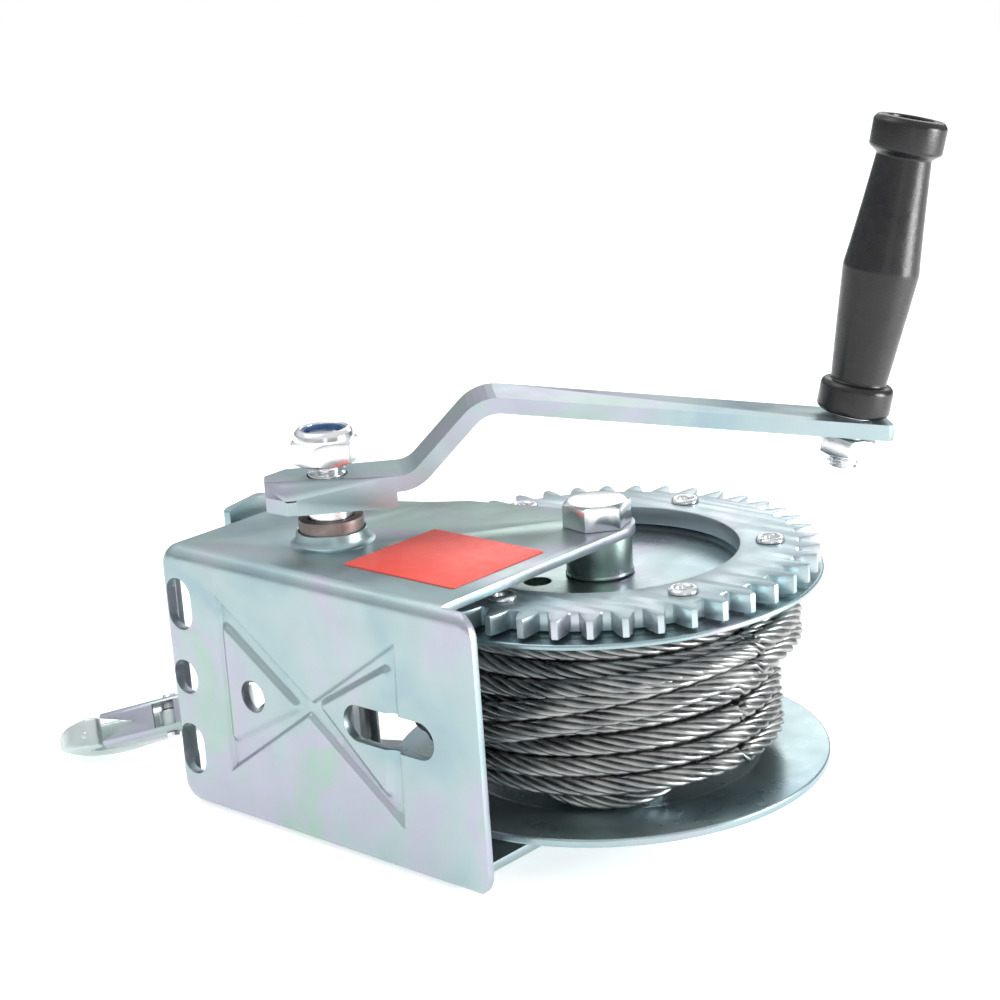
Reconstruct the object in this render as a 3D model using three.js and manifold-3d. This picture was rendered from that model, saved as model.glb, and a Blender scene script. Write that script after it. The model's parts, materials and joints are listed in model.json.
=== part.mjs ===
// Hand winch for a boat trailer, lying on its side plate with the drum axis upright.
// Millimetres, +Z up. The origin is the centre of the outer face of the base plate,
// which faces -Y. +X runs along the base plate, +Y towards the drum.
import * as THREE from 'three';
import { RoundedBoxGeometry } from 'three/addons/geometries/RoundedBoxGeometry.js';
import { mergeVertices } from 'three/addons/utils/BufferGeometryUtils.js';
import Module from 'manifold-3d';

const wasm = await Module();
wasm.setup();
const { Manifold, Mesh: ManifoldMesh } = wasm;

// ---------------------------------------------------------------- driving dimensions
const GAP = 0.3;                       // clearance between touching pieces
const FRAME_WIDTH = 88;                // across the two side plates, along Z
const BASE_LENGTH = 138;               // base plate along X
const SHEET = 3;                       // frame sheet thickness
const BEND_RADIUS = 5;                 // outside of the frame's bends
const BEND_STEPS = 3;                  // from the middle of a bend to each of its faces
const LIP_DEPTH = 6.5;                 // how far the base plate's left lip turns back
const BASE_RIGHT_END = 66.4;           // its right end is cut straight, with no lip
const BASE_CORNER_RADIUS = 8;
const SIDE_TOP = FRAME_WIDTH / 2;      // outer face of the crank-side plate
const SIDE_INNER = SIDE_TOP - SHEET;
const PLATE_RIGHT_EDGE = 53.5;         // side plates stop short of the base plate's right edge

const MODULE = 3.125;                  // gear module
const GEAR_TEETH = 42;
const PINION_TEETH = 11;
const PRESSURE_ANGLE = THREE.MathUtils.degToRad(20);
const TOOTH_THINNING = 0.45;           // taken off each tooth for backlash
const GEAR_BOTTOM = 30.3;
const GEAR_THICKNESS = 6;
const GEAR_TOP = GEAR_BOTTOM + GEAR_THICKNESS;
const RING_INNER_RADIUS = 43.7;

const DRUM = new THREE.Vector2(42, 86.5);
const MESH_ANGLE = THREE.MathUtils.degToRad(221.5);   // from the drum axis to the pinion axis
const CENTRE_DISTANCE = MODULE * (GEAR_TEETH + PINION_TEETH) / 2;
const PINION = new THREE.Vector2(
  DRUM.x + CENTRE_DISTANCE * Math.cos(MESH_ANGLE),
  DRUM.y + CENTRE_DISTANCE * Math.sin(MESH_ANGLE),
);

const FLANGE_SHEET = 2.8;
const UPPER_FLANGE_RADIUS = 69.6;
const LOWER_FLANGE_RADIUS = 70;
const UPPER_RIM_TOP = GEAR_BOTTOM - GAP;               // rim of the upper flange, under the ring gear
const UPPER_FLOOR_TOP = UPPER_RIM_TOP - 1.8;           // its middle is pressed down
const LOWER_RIM_TOP = -31.2;
const LOWER_FLOOR_TOP = -33.4;
const CORE_RADIUS = 20;
const WINDING_RADIUS = 56.5;
const WINDING_TOP = 24.6;
const WINDING_BOTTOM = -25;
const RIVET_CIRCLE = 53.3;
const RIVET_COUNT = 6;
const RIVET_FIRST_ANGLE = THREE.MathUtils.degToRad(-22.9);
const RIVET_RADIUS = 3;

const BOLT_RADIUS = 6;                                 // M12 drum bolt and shaft thread
const BOLT_HEX = 19;                                   // across flats
const SLEEVE_RADIUS = 8;
const SPACER_RADIUS = 10.5;
const DRUM_NUT_BOTTOM = -53;                           // level with the end of the drum bolt
const SHAFT_RADIUS = 7;
const SHAFT_BOTTOM = -46.2;
const SHAFT_SHOULDER = 59.2;                           // the hub sits on it
const BUSH_RADIUS = 10.25;
const BUSH_TOP = 52.2;
const CLIP_BOTTOM = -37.6;
const CLIP_TOP = -36.4;

const CRANK_HEADING = THREE.MathUtils.degToRad(47);    // where the arm points at rest
const HUB_TOP = 65.5;
const ARM_WIDTH = 20;
const ARM_THICKNESS = 5;
const ARM_SLOPE = THREE.MathUtils.degToRad(9.3);       // the long run leans down to the grip
const ARM_END = 177;
const ARM_REACH = 165.4;                               // shaft axis to grip axis
const GRIP_SEAT = 69.3;                                // arm surface at the grip axis
const GRIP_TILT = THREE.MathUtils.degToRad(12.9);      // the grip leans away from the shaft
const GRIP_BOTTOM = 1.2;
const GRIP_LENGTH = 93.1;
const GRIP_BOLT_RADIUS = 5;                            // M10
const GRIP_HEX = 17;

const PAWL_PIVOT = new THREE.Vector2(-52, 44);
const PIVOT_RADIUS = 3;
const RATCHET_TEETH = 12;
const RATCHET_RADIUS = 19;
const RATCHET_ROOT = 15.5;
const RATCHET_BOTTOM = GEAR_TOP + 0.5;
const RATCHET_TOP = SIDE_INNER - 0.4;

const ROPE_RADIUS = 3.15;
const HOOK_EYE = new THREE.Vector3(-80.8, 33, -23.7);
const HOOK_HEADING = THREE.MathUtils.degToRad(33);     // from the hook's nose back to its eye
const HOOK_PITCH = THREE.MathUtils.degToRad(14.4);     // the eye end is lifted
const HOOK_ROLL = THREE.MathUtils.degToRad(58.7);      // the throat turned back from straight up
const HOOK_HALF_THICKNESS = 4.5;

// ---------------------------------------------------------------- materials
const paint = (color, roughness, metalness) =>
  new THREE.MeshStandardMaterial({ color, roughness, metalness });
const zinc = () => paint(0xb4c4c6, 0.35, 0.85);
const bright = () => paint(0xc8ccce, 0.25, 0.95);
const bronze = () => paint(0x6d5f58, 0.55, 0.7);
const steel = () => paint(0x8f9698, 0.4, 0.9);
const rope = () => paint(0x8a8c89, 0.45, 0.8);
const blackPlastic = () => paint(0x1c1d1f, 0.45, 0);
const blueNylon = () => paint(0x1f3b66, 0.5, 0);
const redLabel = () => paint(0xe8392c, 0.5, 0);

// ---------------------------------------------------------------- solids
function solid(geometry) {
  const bare = geometry.index ? geometry.toNonIndexed() : geometry.clone();
  bare.deleteAttribute('normal');
  bare.deleteAttribute('uv');
  const merged = mergeVertices(bare, 1e-4);
  const build = (triVerts) => new Manifold(new ManifoldMesh({
    numProp: 3,
    vertProperties: new Float32Array(merged.attributes.position.array),
    triVerts,
  }));
  const indices = new Uint32Array(merged.index.array);
  const body = build(indices);
  if (body.volume() > 0) return body;
  return build(indices.reverse());
}

function surface(body) {
  const mesh = body.getMesh();
  const geometry = new THREE.BufferGeometry();
  geometry.setAttribute('position', new THREE.BufferAttribute(mesh.vertProperties.slice(), 3));
  geometry.setIndex(new THREE.BufferAttribute(mesh.triVerts.slice(), 1));
  geometry.computeVertexNormals();
  return geometry;
}

function extrude(shape, low, high, curveSegments = 12) {
  const geometry = new THREE.ExtrudeGeometry(shape, {
    depth: high - low, bevelEnabled: false, curveSegments,
  });
  return solid(geometry.translate(0, 0, low));
}

// An outline in X and Z, extruded along Y.
function extrudeAlongY(shape, low, high, curveSegments = 12) {
  const geometry = new THREE.ExtrudeGeometry(shape, {
    depth: high - low, bevelEnabled: false, curveSegments,
  });
  geometry.rotateX(Math.PI / 2);
  return solid(geometry.translate(0, high, 0));
}

// A turned solid about Z from [radius, z] points. A profile that starts and ends on the
// axis makes a solid piece; any other profile is closed on itself and makes a ring.
function turned(profile, centre = new THREE.Vector2(), segments = 40) {
  const points = profile.map(([radius, z]) => new THREE.Vector2(radius, z));
  const onAxis = profile[0][0] === 0 && profile.at(-1)[0] === 0;
  if (!onAxis) points.push(points[0].clone());
  const geometry = new THREE.LatheGeometry(points, segments);
  geometry.rotateX(Math.PI / 2);
  return solid(geometry.translate(centre.x, centre.y, 0));
}

const disc = (radius, low, high, centre, segments = 40) =>
  turned([[0, low], [radius, low], [radius, high], [0, high]], centre, segments);

const ring = (inner, outer, low, high, centre, segments = 40) =>
  turned([[inner, low], [outer, low], [outer, high], [inner, high]], centre, segments);

function hexagon(acrossFlats, low, high, centre = new THREE.Vector2(), turn = 0) {
  const geometry = new THREE.CylinderGeometry(
    acrossFlats / Math.sqrt(3), acrossFlats / Math.sqrt(3), high - low, 6);
  geometry.rotateX(Math.PI / 2).rotateZ(turn);
  return solid(geometry.translate(centre.x, centre.y, (low + high) / 2));
}

function tube(points, radius, steps, sides = 8) {
  const section = new THREE.Shape();
  for (let i = 0; i < sides; i += 1) {
    const angle = (i / sides) * 2 * Math.PI;
    const point = [radius * Math.cos(angle), radius * Math.sin(angle)];
    if (i === 0) section.moveTo(...point);
    else section.lineTo(...point);
  }
  section.closePath();
  const path = new THREE.CatmullRomCurve3(points, false, 'centripetal');
  return solid(new THREE.ExtrudeGeometry(section, { steps, extrudePath: path, bevelEnabled: false }));
}

const polar = (centre, radius, angle) => new THREE.Vector2(
  centre.x + radius * Math.cos(angle), centre.y + radius * Math.sin(angle));

const winch = new THREE.Group();

function add(name, body, material, parent = winch) {
  const mesh = new THREE.Mesh(surface(body), material);
  mesh.name = name;
  parent.add(mesh);
  return mesh;
}

// ---------------------------------------------------------------- frame
function slot(centreX, centreZ, sizeX, sizeZ) {
  const radius = Math.min(sizeX, sizeZ) / 2;
  const halfX = sizeX / 2 - radius;
  const halfZ = sizeZ / 2 - radius;
  const outline = new THREE.Shape();
  if (sizeZ >= sizeX) {
    outline.absarc(centreX, centreZ + halfZ, radius, 0, Math.PI);
    outline.absarc(centreX, centreZ - halfZ, radius, Math.PI, 2 * Math.PI);
  } else {
    outline.absarc(centreX + halfX, centreZ, radius, -Math.PI / 2, Math.PI / 2);
    outline.absarc(centreX - halfX, centreZ, radius, Math.PI / 2, 1.5 * Math.PI);
  }
  return outline;
}

// The base plate's edges are all rounded back, so the blank is an open box with round edges.
function roundedBox(inset) {
  const reach = 120;
  const geometry = new RoundedBoxGeometry(
    BASE_LENGTH - 2 * inset, reach, FRAME_WIDTH - 2 * inset, BEND_STEPS, BEND_RADIUS - inset);
  return solid(geometry.translate(0, inset + reach / 2, 0));
}

function sidePlateOutline() {
  const left = -BASE_LENGTH / 2;
  const tip = 12.5;                     // radius of the rounded end at the drum bolt
  const tipCentre = PLATE_RIGHT_EDGE - tip;
  const backAngle = THREE.MathUtils.degToRad(107);
  const outline = new THREE.Shape();
  outline.moveTo(PLATE_RIGHT_EDGE, 4.5);
  outline.lineTo(PLATE_RIGHT_EDGE, DRUM.y - 30);
  outline.absarc(tipCentre, DRUM.y, tip, 0, backAngle);
  outline.lineTo(-8, 86);
  outline.quadraticCurveTo(-12, 84.8, -17, 81.2);
  outline.quadraticCurveTo(-24, 77, -30.6, 74.1);
  outline.lineTo(left + 3, 57.5);
  outline.quadraticCurveTo(left, 56, left, 52);
  outline.lineTo(left, 15);
  outline.quadraticCurveTo(left, 4.5, left + 10, 4.5);
  return outline;
}

// A bow-tie groove pressed into the base plate around two level triangles, as [x, z] corners.
const GROOVE = [[-42.6, 31.4], [-43.3, -28.9], [-3.8, -1.4], [34.3, -29.2], [36, 30.8], [-2, 4.6]];
const GROOVE_ISLANDS = [
  [[-39, 19.8], [-39.3, -15], [-10.5, 0.8]],
  [[30.5, 19.5], [3.5, 3.4], [27.5, -17.8]],
];
const PRESS_DEPTH = 1.5;

const polygon = (corners) => new THREE.Shape(corners.map(([x, z]) => new THREE.Vector2(x, z)));

function groove(low, high) {
  return GROOVE_ISLANDS.reduce(
    (rest, island) => rest.subtract(extrudeAlongY(polygon(island), low - 1, high + 1)),
    extrudeAlongY(polygon(GROOVE), low, high));
}

// Slots and holes in the base plate: centre x, centre z, size x, size z.
const MOUNT_SLOTS = [
  [-59.8, 25.2, 11.5, 17.3],
  [-60.3, 0.5, 11.5, 11.5],
  [-60.6, -24.2, 11.5, 17.3],
  [-28.7, 0.2, 10.6, 10.6],
  [30.4, 1.3, 37.4, 11.8],
];

// The flat end of the base plate past the side plates, with round corners.
function rightEndOutline() {
  const outline = new THREE.Shape();
  const cornerX = BASE_RIGHT_END - BASE_CORNER_RADIUS;
  const cornerZ = SIDE_TOP - BASE_CORNER_RADIUS;
  outline.moveTo(PLATE_RIGHT_EDGE - 1, -SIDE_TOP - 1);
  outline.lineTo(cornerX, -SIDE_TOP - 1);
  outline.lineTo(cornerX, -SIDE_TOP);
  outline.absarc(cornerX, -cornerZ, BASE_CORNER_RADIUS, -Math.PI / 2, 0);
  outline.absarc(cornerX, cornerZ, BASE_CORNER_RADIUS, 0, Math.PI / 2);
  outline.lineTo(cornerX, SIDE_TOP + 1);
  outline.lineTo(PLATE_RIGHT_EDGE - 1, SIDE_TOP + 1);
  return outline;
}

function framePlate() {
  const base = box([-BASE_LENGTH, PLATE_RIGHT_EDGE], [-1, LIP_DEPTH], [-SIDE_TOP - 1, SIDE_TOP + 1])
    .add(extrudeAlongY(rightEndOutline(), -1, SHEET));
  const sides = extrude(sidePlateOutline(), -SIDE_TOP - 1, SIDE_TOP + 1, 10)
    .subtract(box([-BASE_LENGTH, BASE_LENGTH], [LIP_DEPTH, 120], [-SIDE_INNER + 0.01, SIDE_INNER - 0.01]));
  let plate = roundedBox(0).subtract(roundedBox(SHEET)).intersect(base.add(sides))
    .add(groove(SHEET - 0.5, SHEET + PRESS_DEPTH))
    .subtract(groove(-1, PRESS_DEPTH));
  for (const [x, z, sizeX, sizeZ] of MOUNT_SLOTS) {
    plate = plate.subtract(extrudeAlongY(slot(x, z, sizeX, sizeZ), -2, 8, 8));
  }
  const upperCollar = bushCollar(SIDE_TOP, 48.3, 1);
  const lowerCollar = bushCollar(-SIDE_TOP, -45.4, -1);
  return plate
    .subtract(disc(BUSH_RADIUS + GAP, -60, 60, PINION, 32))
    .subtract(disc(BOLT_RADIUS + GAP, -60, 60, DRUM, 24))
    .add(upperCollar)
    .add(lowerCollar);
}

// A flared collar drawn out of the plate around a bush.
function bushCollar(face, end, side) {
  const bore = BUSH_RADIUS + GAP;
  return turned([
    [bore, face - side], [13.4, face - side], [13.4, face], [12.2, face + 0.5 * side],
    [11.5, face + 1.3 * side], [11.2, end], [bore, end],
  ], PINION, 32);
}

// ---------------------------------------------------------------- drum bolt and spacers
function drumBolt() {
  const headBottom = SIDE_TOP + 0.1;
  const headTop = SIDE_TOP + 8;
  return hexagon(BOLT_HEX, headBottom, headTop, DRUM, THREE.MathUtils.degToRad(20))
    .add(disc(BOLT_RADIUS, DRUM_NUT_BOTTOM, headTop - 1, DRUM, 24));
}

function hexNut(acrossFlats, low, high, hole, centre, turn = 0) {
  return hexagon(acrossFlats, low, high, centre, turn)
    .subtract(disc(hole, low - 1, high + 1, centre, 24));
}

function addFrame() {
  add('frame_plate', framePlate(), zinc());
  const decal = new THREE.Shape();
  decal.moveTo(1, 15.5);
  decal.lineTo(46.5, 15.5);
  decal.lineTo(46.5, 56);
  decal.lineTo(1, 56);
  add('info_decal', extrude(decal, SIDE_TOP + 0.05, SIDE_TOP + 0.35), redLabel());

  const hole = BOLT_RADIUS + GAP;
  add('drum_bolt', drumBolt(), bright());
  add('drum_washer', ring(hole, 12, -SIDE_TOP - 1.5, -SIDE_TOP - 0.1, DRUM, 32), bright());
  add('drum_nut', hexNut(BOLT_HEX, DRUM_NUT_BOTTOM, -SIDE_TOP - 1.6, hole, DRUM), bright());
  const inner = SIDE_INNER - 0.1;
  add('axle_sleeve', ring(hole, SLEEVE_RADIUS, -inner, inner, DRUM, 32), steel());
  const spacerBore = SLEEVE_RADIUS + GAP;
  const foot = UPPER_FLOOR_TOP + GAP;
  add('spacer_upper', turned([
    [spacerBore, foot], [SPACER_RADIUS + 0.3, foot], [SPACER_RADIUS + 0.3, foot + 0.6],
    [SPACER_RADIUS, foot + 0.9], [SPACER_RADIUS, inner], [spacerBore, inner],
  ], DRUM, 32), zinc());
  const lowerTop = LOWER_FLOOR_TOP - FLANGE_SHEET - GAP;
  add('spacer_lower', ring(spacerBore, SPACER_RADIUS, -inner, lowerTop, DRUM, 32), zinc());

  const bushBore = SHAFT_RADIUS + GAP;
  add('pinion_bush_upper',
    ring(bushBore, BUSH_RADIUS, SIDE_INNER + 0.2, BUSH_TOP, PINION, 32), bronze());
  add('pinion_bush_lower', turned([
    [bushBore, -45.9], [BUSH_RADIUS, -45.9], [BUSH_RADIUS, -inner], [BUSH_RADIUS + 2, -inner],
    [BUSH_RADIUS + 2, -38.2], [bushBore, -38.2],
  ], PINION, 36), bronze());

  add('pawl_stud', turned([
    [0, 32.4], [5.6, 32.4], [6, 32.8], [6, 33.6], [PIVOT_RADIUS, 33.6], [PIVOT_RADIUS, inner],
    [0, inner],
  ], PAWL_PIVOT, 20), bright());
  add('pawl_spring', pawlSpring(), steel());
}

// A light torsion spring around the stud, one leg resting towards the base plate.
function pawlSpring() {
  const coilRadius = 4.3;
  const wire = 0.45;
  const low = 34.3;
  const high = 36.1;
  const sidesPerTurn = 12;
  const steps = 20;
  const points = [new THREE.Vector3(PAWL_PIVOT.x + coilRadius, PAWL_PIVOT.y - 14, low)];
  for (let i = 0; i <= steps; i += 1) {
    const place = polar(PAWL_PIVOT, coilRadius, (i / sidesPerTurn) * 2 * Math.PI);
    points.push(new THREE.Vector3(place.x, place.y, low + (i / steps) * (high - low)));
  }
  return tube(points, wire, 40, 5);
}

// ---------------------------------------------------------------- gears
// Outline of a spur gear with involute flanks, centred on a gap or a tooth at angle zero.
function gearOutline(teeth, thinning, startsOnTooth, outline) {
  const pitch = MODULE * teeth / 2;
  const base = pitch * Math.cos(PRESSURE_ANGLE);
  const tip = pitch + MODULE;
  const root = pitch - 1.3 * MODULE;
  const involute = (angle) => Math.tan(angle) - angle;
  const halfAt = (radius) => {
    const safe = Math.max(radius, base);
    const angle = Math.acos(base / safe);
    const half = Math.PI / (2 * teeth) - thinning / (2 * pitch);
    return half + involute(PRESSURE_ANGLE) - involute(angle);
  };
  const flank = [root, base + 0.05, pitch + 0.1, pitch + MODULE * 0.6, tip]
    .filter((radius, i) => i === 0 || radius > root + 0.4);
  const step = 2 * Math.PI / teeth;
  const offset = startsOnTooth ? 0 : step / 2;
  const points = [];
  for (let i = 0; i < teeth; i += 1) {
    const middle = offset + i * step;
    for (const radius of flank) points.push([radius, middle - halfAt(radius)]);
    for (const radius of [...flank].reverse()) points.push([radius, middle + halfAt(radius)]);
  }
  points.forEach(([radius, angle], i) => {
    const x = radius * Math.cos(angle);
    const y = radius * Math.sin(angle);
    if (i === 0) outline.moveTo(x, y);
    else outline.lineTo(x, y);
  });
  return outline;
}

function ringGear() {
  const outline = gearOutline(GEAR_TEETH, TOOTH_THINNING, true, new THREE.Shape());
  const axis = new THREE.Vector2();
  const gear = extrude(outline, GEAR_BOTTOM, GEAR_TOP)
    .subtract(disc(RING_INNER_RADIUS, GEAR_BOTTOM - 1, GEAR_TOP + 1, axis, 72))
    .rotate([0, 0, THREE.MathUtils.radToDeg(MESH_ANGLE)])
    .translate([DRUM.x, DRUM.y, 0]);
  return withRivetHoles(gear);
}

function pinionGear() {
  const outline = gearOutline(PINION_TEETH, TOOTH_THINNING, false, new THREE.Shape());
  const axis = new THREE.Vector2();
  return extrude(outline, GEAR_BOTTOM + 0.1, GEAR_TOP + 0.2)
    .subtract(disc(SHAFT_RADIUS + GAP, GEAR_BOTTOM - 1, GEAR_TOP + 1, axis, 24))
    .rotate([0, 0, THREE.MathUtils.radToDeg(MESH_ANGLE) + 180])
    .translate([PINION.x, PINION.y, 0]);
}

function ratchetWheel() {
  const outline = new THREE.Shape();
  for (let i = 0; i < RATCHET_TEETH; i += 1) {
    const start = (i / RATCHET_TEETH) * 2 * Math.PI;
    const tip = polar(PINION, RATCHET_RADIUS, start);
    const root = polar(PINION, RATCHET_ROOT, start + 0.06);
    if (i === 0) outline.moveTo(tip.x, tip.y);
    else outline.lineTo(tip.x, tip.y);
    outline.lineTo(root.x, root.y);
  }
  return extrude(outline, RATCHET_BOTTOM, RATCHET_TOP)
    .subtract(disc(SHAFT_RADIUS + GAP, RATCHET_BOTTOM - 1, RATCHET_TOP + 1, PINION, 24));
}

function rivetPlaces() {
  return Array.from({ length: RIVET_COUNT }, (_, i) =>
    polar(DRUM, RIVET_CIRCLE, RIVET_FIRST_ANGLE + (i / RIVET_COUNT) * 2 * Math.PI));
}

function withRivetHoles(body) {
  return rivetPlaces().reduce(
    (rest, place) => rest.subtract(disc(RIVET_RADIUS + GAP, 20, GEAR_TOP + 1, place, 16)), body);
}

// ---------------------------------------------------------------- drum
// A pressed disc: a level rim and a lower floor inside the step.
function flange(radius, rimTop, floorTop, stepRadius, edgeTop) {
  const hole = SLEEVE_RADIUS + GAP;
  const rimBottom = rimTop - FLANGE_SHEET;
  const floorBottom = floorTop - FLANGE_SHEET;
  return turned([
    [hole, floorTop], [stepRadius, floorTop], [stepRadius + 3, rimTop], [60, rimTop],
    [63, edgeTop], [radius - 0.6, edgeTop], [radius, edgeTop - 0.6], [radius, rimBottom],
    [stepRadius + 3.4, rimBottom], [stepRadius + 0.4, floorBottom], [hole, floorBottom],
  ], DRUM, 60);
}

function addDrum() {
  const boreOfCore = SLEEVE_RADIUS + 0.4;
  const coreTop = UPPER_FLOOR_TOP - FLANGE_SHEET - GAP;
  const coreBottom = LOWER_FLOOR_TOP + 0.1;
  add('drum_core', ring(boreOfCore, CORE_RADIUS, coreBottom, coreTop, DRUM, 40), zinc());

  const ropeHole = disc(4.4, 20, 35, new THREE.Vector2(31.2, 68.9), 20);
  const upper = flange(UPPER_FLANGE_RADIUS, UPPER_RIM_TOP, UPPER_FLOOR_TOP, 44,
    UPPER_RIM_TOP - 0.9);
  add('upper_flange', withRivetHoles(upper).subtract(ropeHole), zinc());
  const screwPlace = polar(DRUM, 28, THREE.MathUtils.degToRad(60));
  const lower = flange(LOWER_FLANGE_RADIUS, LOWER_RIM_TOP, LOWER_FLOOR_TOP, 46, LOWER_RIM_TOP)
    .subtract(disc(2.8, -40, -30, screwPlace, 16));
  add('lower_flange', lower, zinc());
  add('ring_gear', ringGear(), zinc());
  rivetPlaces().forEach((place, i) => add(`gear_rivet_${i + 1}`, gearRivet(place), bright()));

  const floorBottom = LOWER_FLOOR_TOP - FLANGE_SHEET;
  const clampTop = floorBottom - 0.1;
  const clampBottom = clampTop - 2;
  const strap = new THREE.Shape();
  strap.absarc(screwPlace.x, screwPlace.y, 7, -Math.PI / 2, Math.PI / 2);
  strap.absarc(screwPlace.x - 12, screwPlace.y, 7, Math.PI / 2, 1.5 * Math.PI);
  add('cable_clamp', extrude(strap, clampBottom, clampTop, 8)
    .subtract(disc(2.8, clampBottom - 1, clampTop + 1, screwPlace, 16)), zinc());
  add('clamp_screw', turned([
    [0, -40.3], [4.2, -40.3], [4.8, -39.7], [4.8, clampBottom - 0.1], [2.5, clampBottom - 0.1],
    [2.5, LOWER_FLOOR_TOP + 1.5], [0, LOWER_FLOOR_TOP + 1.5],
  ], screwPlace, 20), bright());

  add('cable_winding', turned([
    [CORE_RADIUS + 0.4, WINDING_BOTTOM], [51.5, WINDING_BOTTOM], [55, WINDING_BOTTOM + 4],
    [WINDING_RADIUS, -8], [WINDING_RADIUS, 12], [55.5, WINDING_TOP - 3], [53, WINDING_TOP],
    [CORE_RADIUS + 0.4, WINDING_TOP],
  ], DRUM, 40), rope());
}

// A round rivet, closed under the flange and rolled over like an eyelet above the gear.
function gearRivet(place) {
  const under = UPPER_RIM_TOP - FLANGE_SHEET - 0.1;
  const over = GEAR_TOP + 0.1;
  return turned([
    [0, under - 1.4], [4, under - 1.4], [4.6, under - 0.8], [4.6, under], [RIVET_RADIUS, under],
    [RIVET_RADIUS, over], [4.6, over], [4.3, over + 0.8], [3.4, over + 1.3], [2.6, over + 1],
    [2.1, over - 0.4], [0, over - 1.2],
  ], place, 14);
}

// ---------------------------------------------------------------- crank
// Points along a bent line, each corner rounded to its radius at the middle of the sheet.
function roundedLine(corners, radii, stepsPerBend = 6) {
  const points = [corners[0].clone()];
  for (let i = 1; i < corners.length - 1; i += 1) {
    const before = corners[i - 1].clone().sub(corners[i]).normalize();
    const after = corners[i + 1].clone().sub(corners[i]).normalize();
    const half = Math.acos(before.dot(after)) / 2;
    const middle = before.clone().add(after).normalize();
    const centre = corners[i].clone().addScaledVector(middle, radii[i - 1] / Math.sin(half));
    const start = corners[i].clone().addScaledVector(before, radii[i - 1] / Math.tan(half));
    const sweep = Math.PI - 2 * half;
    const side = Math.sign(before.x * after.y - before.y * after.x);
    for (let k = 0; k <= stepsPerBend; k += 1) {
      points.push(start.clone().rotateAround(centre, -side * sweep * k / stepsPerBend));
    }
  }
  points.push(corners.at(-1).clone());
  return points;
}

// The outline of a strip of even thickness around such a line.
function strip(points, thickness) {
  const sides = [[], []];
  points.forEach((point, i) => {
    const ahead = points[Math.min(i + 1, points.length - 1)];
    const behind = points[Math.max(i - 1, 0)];
    const along = ahead.clone().sub(behind).normalize();
    const normal = new THREE.Vector2(-along.y, along.x);
    sides[0].push(point.clone().addScaledVector(normal, thickness / 2));
    sides[1].unshift(point.clone().addScaledVector(normal, -thickness / 2));
  });
  return new THREE.Shape([...sides[0], ...sides[1]]);
}

// The crank's own place: X along the arm, Z up, origin on the shaft axis.
function crankGroup() {
  const group = new THREE.Group();
  group.position.set(PINION.x, PINION.y, 0);
  group.rotation.z = CRANK_HEADING;
  winch.add(group);
  return group;
}

// The grip's own place: Z along the grip, origin where its axis meets the arm.
function gripGroup(parent) {
  const group = new THREE.Group();
  group.position.set(ARM_REACH, 0, GRIP_SEAT);
  group.rotation.y = GRIP_TILT;
  parent.add(group);
  return group;
}

function armOutline() {
  const half = ARM_THICKNESS / 2;
  const hub = HUB_TOP - half;
  const run = (s) => GRIP_SEAT + (ARM_REACH - s) * Math.tan(ARM_SLOPE) - half / Math.cos(ARM_SLOPE);
  const rise = 26.5;                       // where the 45 degree step leaves the hub's level
  const crest = (run(0) - hub + rise) / (1 + Math.tan(ARM_SLOPE));
  const corners = [
    new THREE.Vector2(-20, hub),
    new THREE.Vector2(rise, hub),
    new THREE.Vector2(crest, hub + crest - rise),
    new THREE.Vector2(ARM_END, run(ARM_END)),
  ];
  return strip(roundedLine(corners, [11, 12]), ARM_THICKNESS);
}

function armPlan() {
  const half = ARM_WIDTH / 2;
  const outline = new THREE.Shape();
  outline.moveTo(-13, -half);
  outline.lineTo(ARM_END - 2, -half);
  outline.lineTo(ARM_END, -half + 2);
  outline.lineTo(ARM_END, half - 2);
  outline.lineTo(ARM_END - 2, half);
  outline.lineTo(-13, half);
  outline.lineTo(-19.5, half - 6.5);
  outline.lineTo(-19.5, -half + 6.5);
  return outline;
}

function crankArm() {
  const half = ARM_WIDTH / 2;
  const axis = new THREE.Vector2();
  let arm = extrudeAlongY(armOutline(), -half - 1, half + 1)
    .intersect(extrude(armPlan(), 40, 100));
  const lipBottom = 55.6;
  const lipTop = HUB_TOP - 1;
  for (const edge of [-half, half - 2.6]) {
    arm = arm.add(box([-10, 21], [edge, edge + 2.6], [lipBottom, lipTop]));
  }
  arm = arm.add(box([-19.5, -16.9], [-3.5, 3.5], [lipBottom, lipTop]));
  const boltHole = disc(GRIP_BOLT_RADIUS + 0.4, -20, 10, axis, 20)
    .rotate([0, THREE.MathUtils.radToDeg(GRIP_TILT), 0])
    .translate([ARM_REACH, 0, GRIP_SEAT]);
  return arm
    .subtract(disc(BOLT_RADIUS + 0.4, 50, 70, axis, 24))
    .subtract(boltHole);
}

function box([x0, x1], [y0, y1], [z0, z1]) {
  const geometry = new THREE.BoxGeometry(x1 - x0, y1 - y0, z1 - z0);
  return solid(geometry.translate((x0 + x1) / 2, (y0 + y1) / 2, (z0 + z1) / 2));
}

function crankShaft() {
  const groove = SHAFT_RADIUS - 0.9;
  return turned([
    [0, SHAFT_BOTTOM], [SHAFT_RADIUS, SHAFT_BOTTOM], [SHAFT_RADIUS, CLIP_BOTTOM - 0.2],
    [groove, CLIP_BOTTOM - 0.2], [groove, CLIP_TOP + 0.2], [SHAFT_RADIUS, CLIP_TOP + 0.2],
    [SHAFT_RADIUS, SHAFT_SHOULDER], [BOLT_RADIUS, SHAFT_SHOULDER], [BOLT_RADIUS, 78.2],
    [BOLT_RADIUS - 0.8, 79], [0, 79],
  ], PINION, 32);
}

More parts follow.
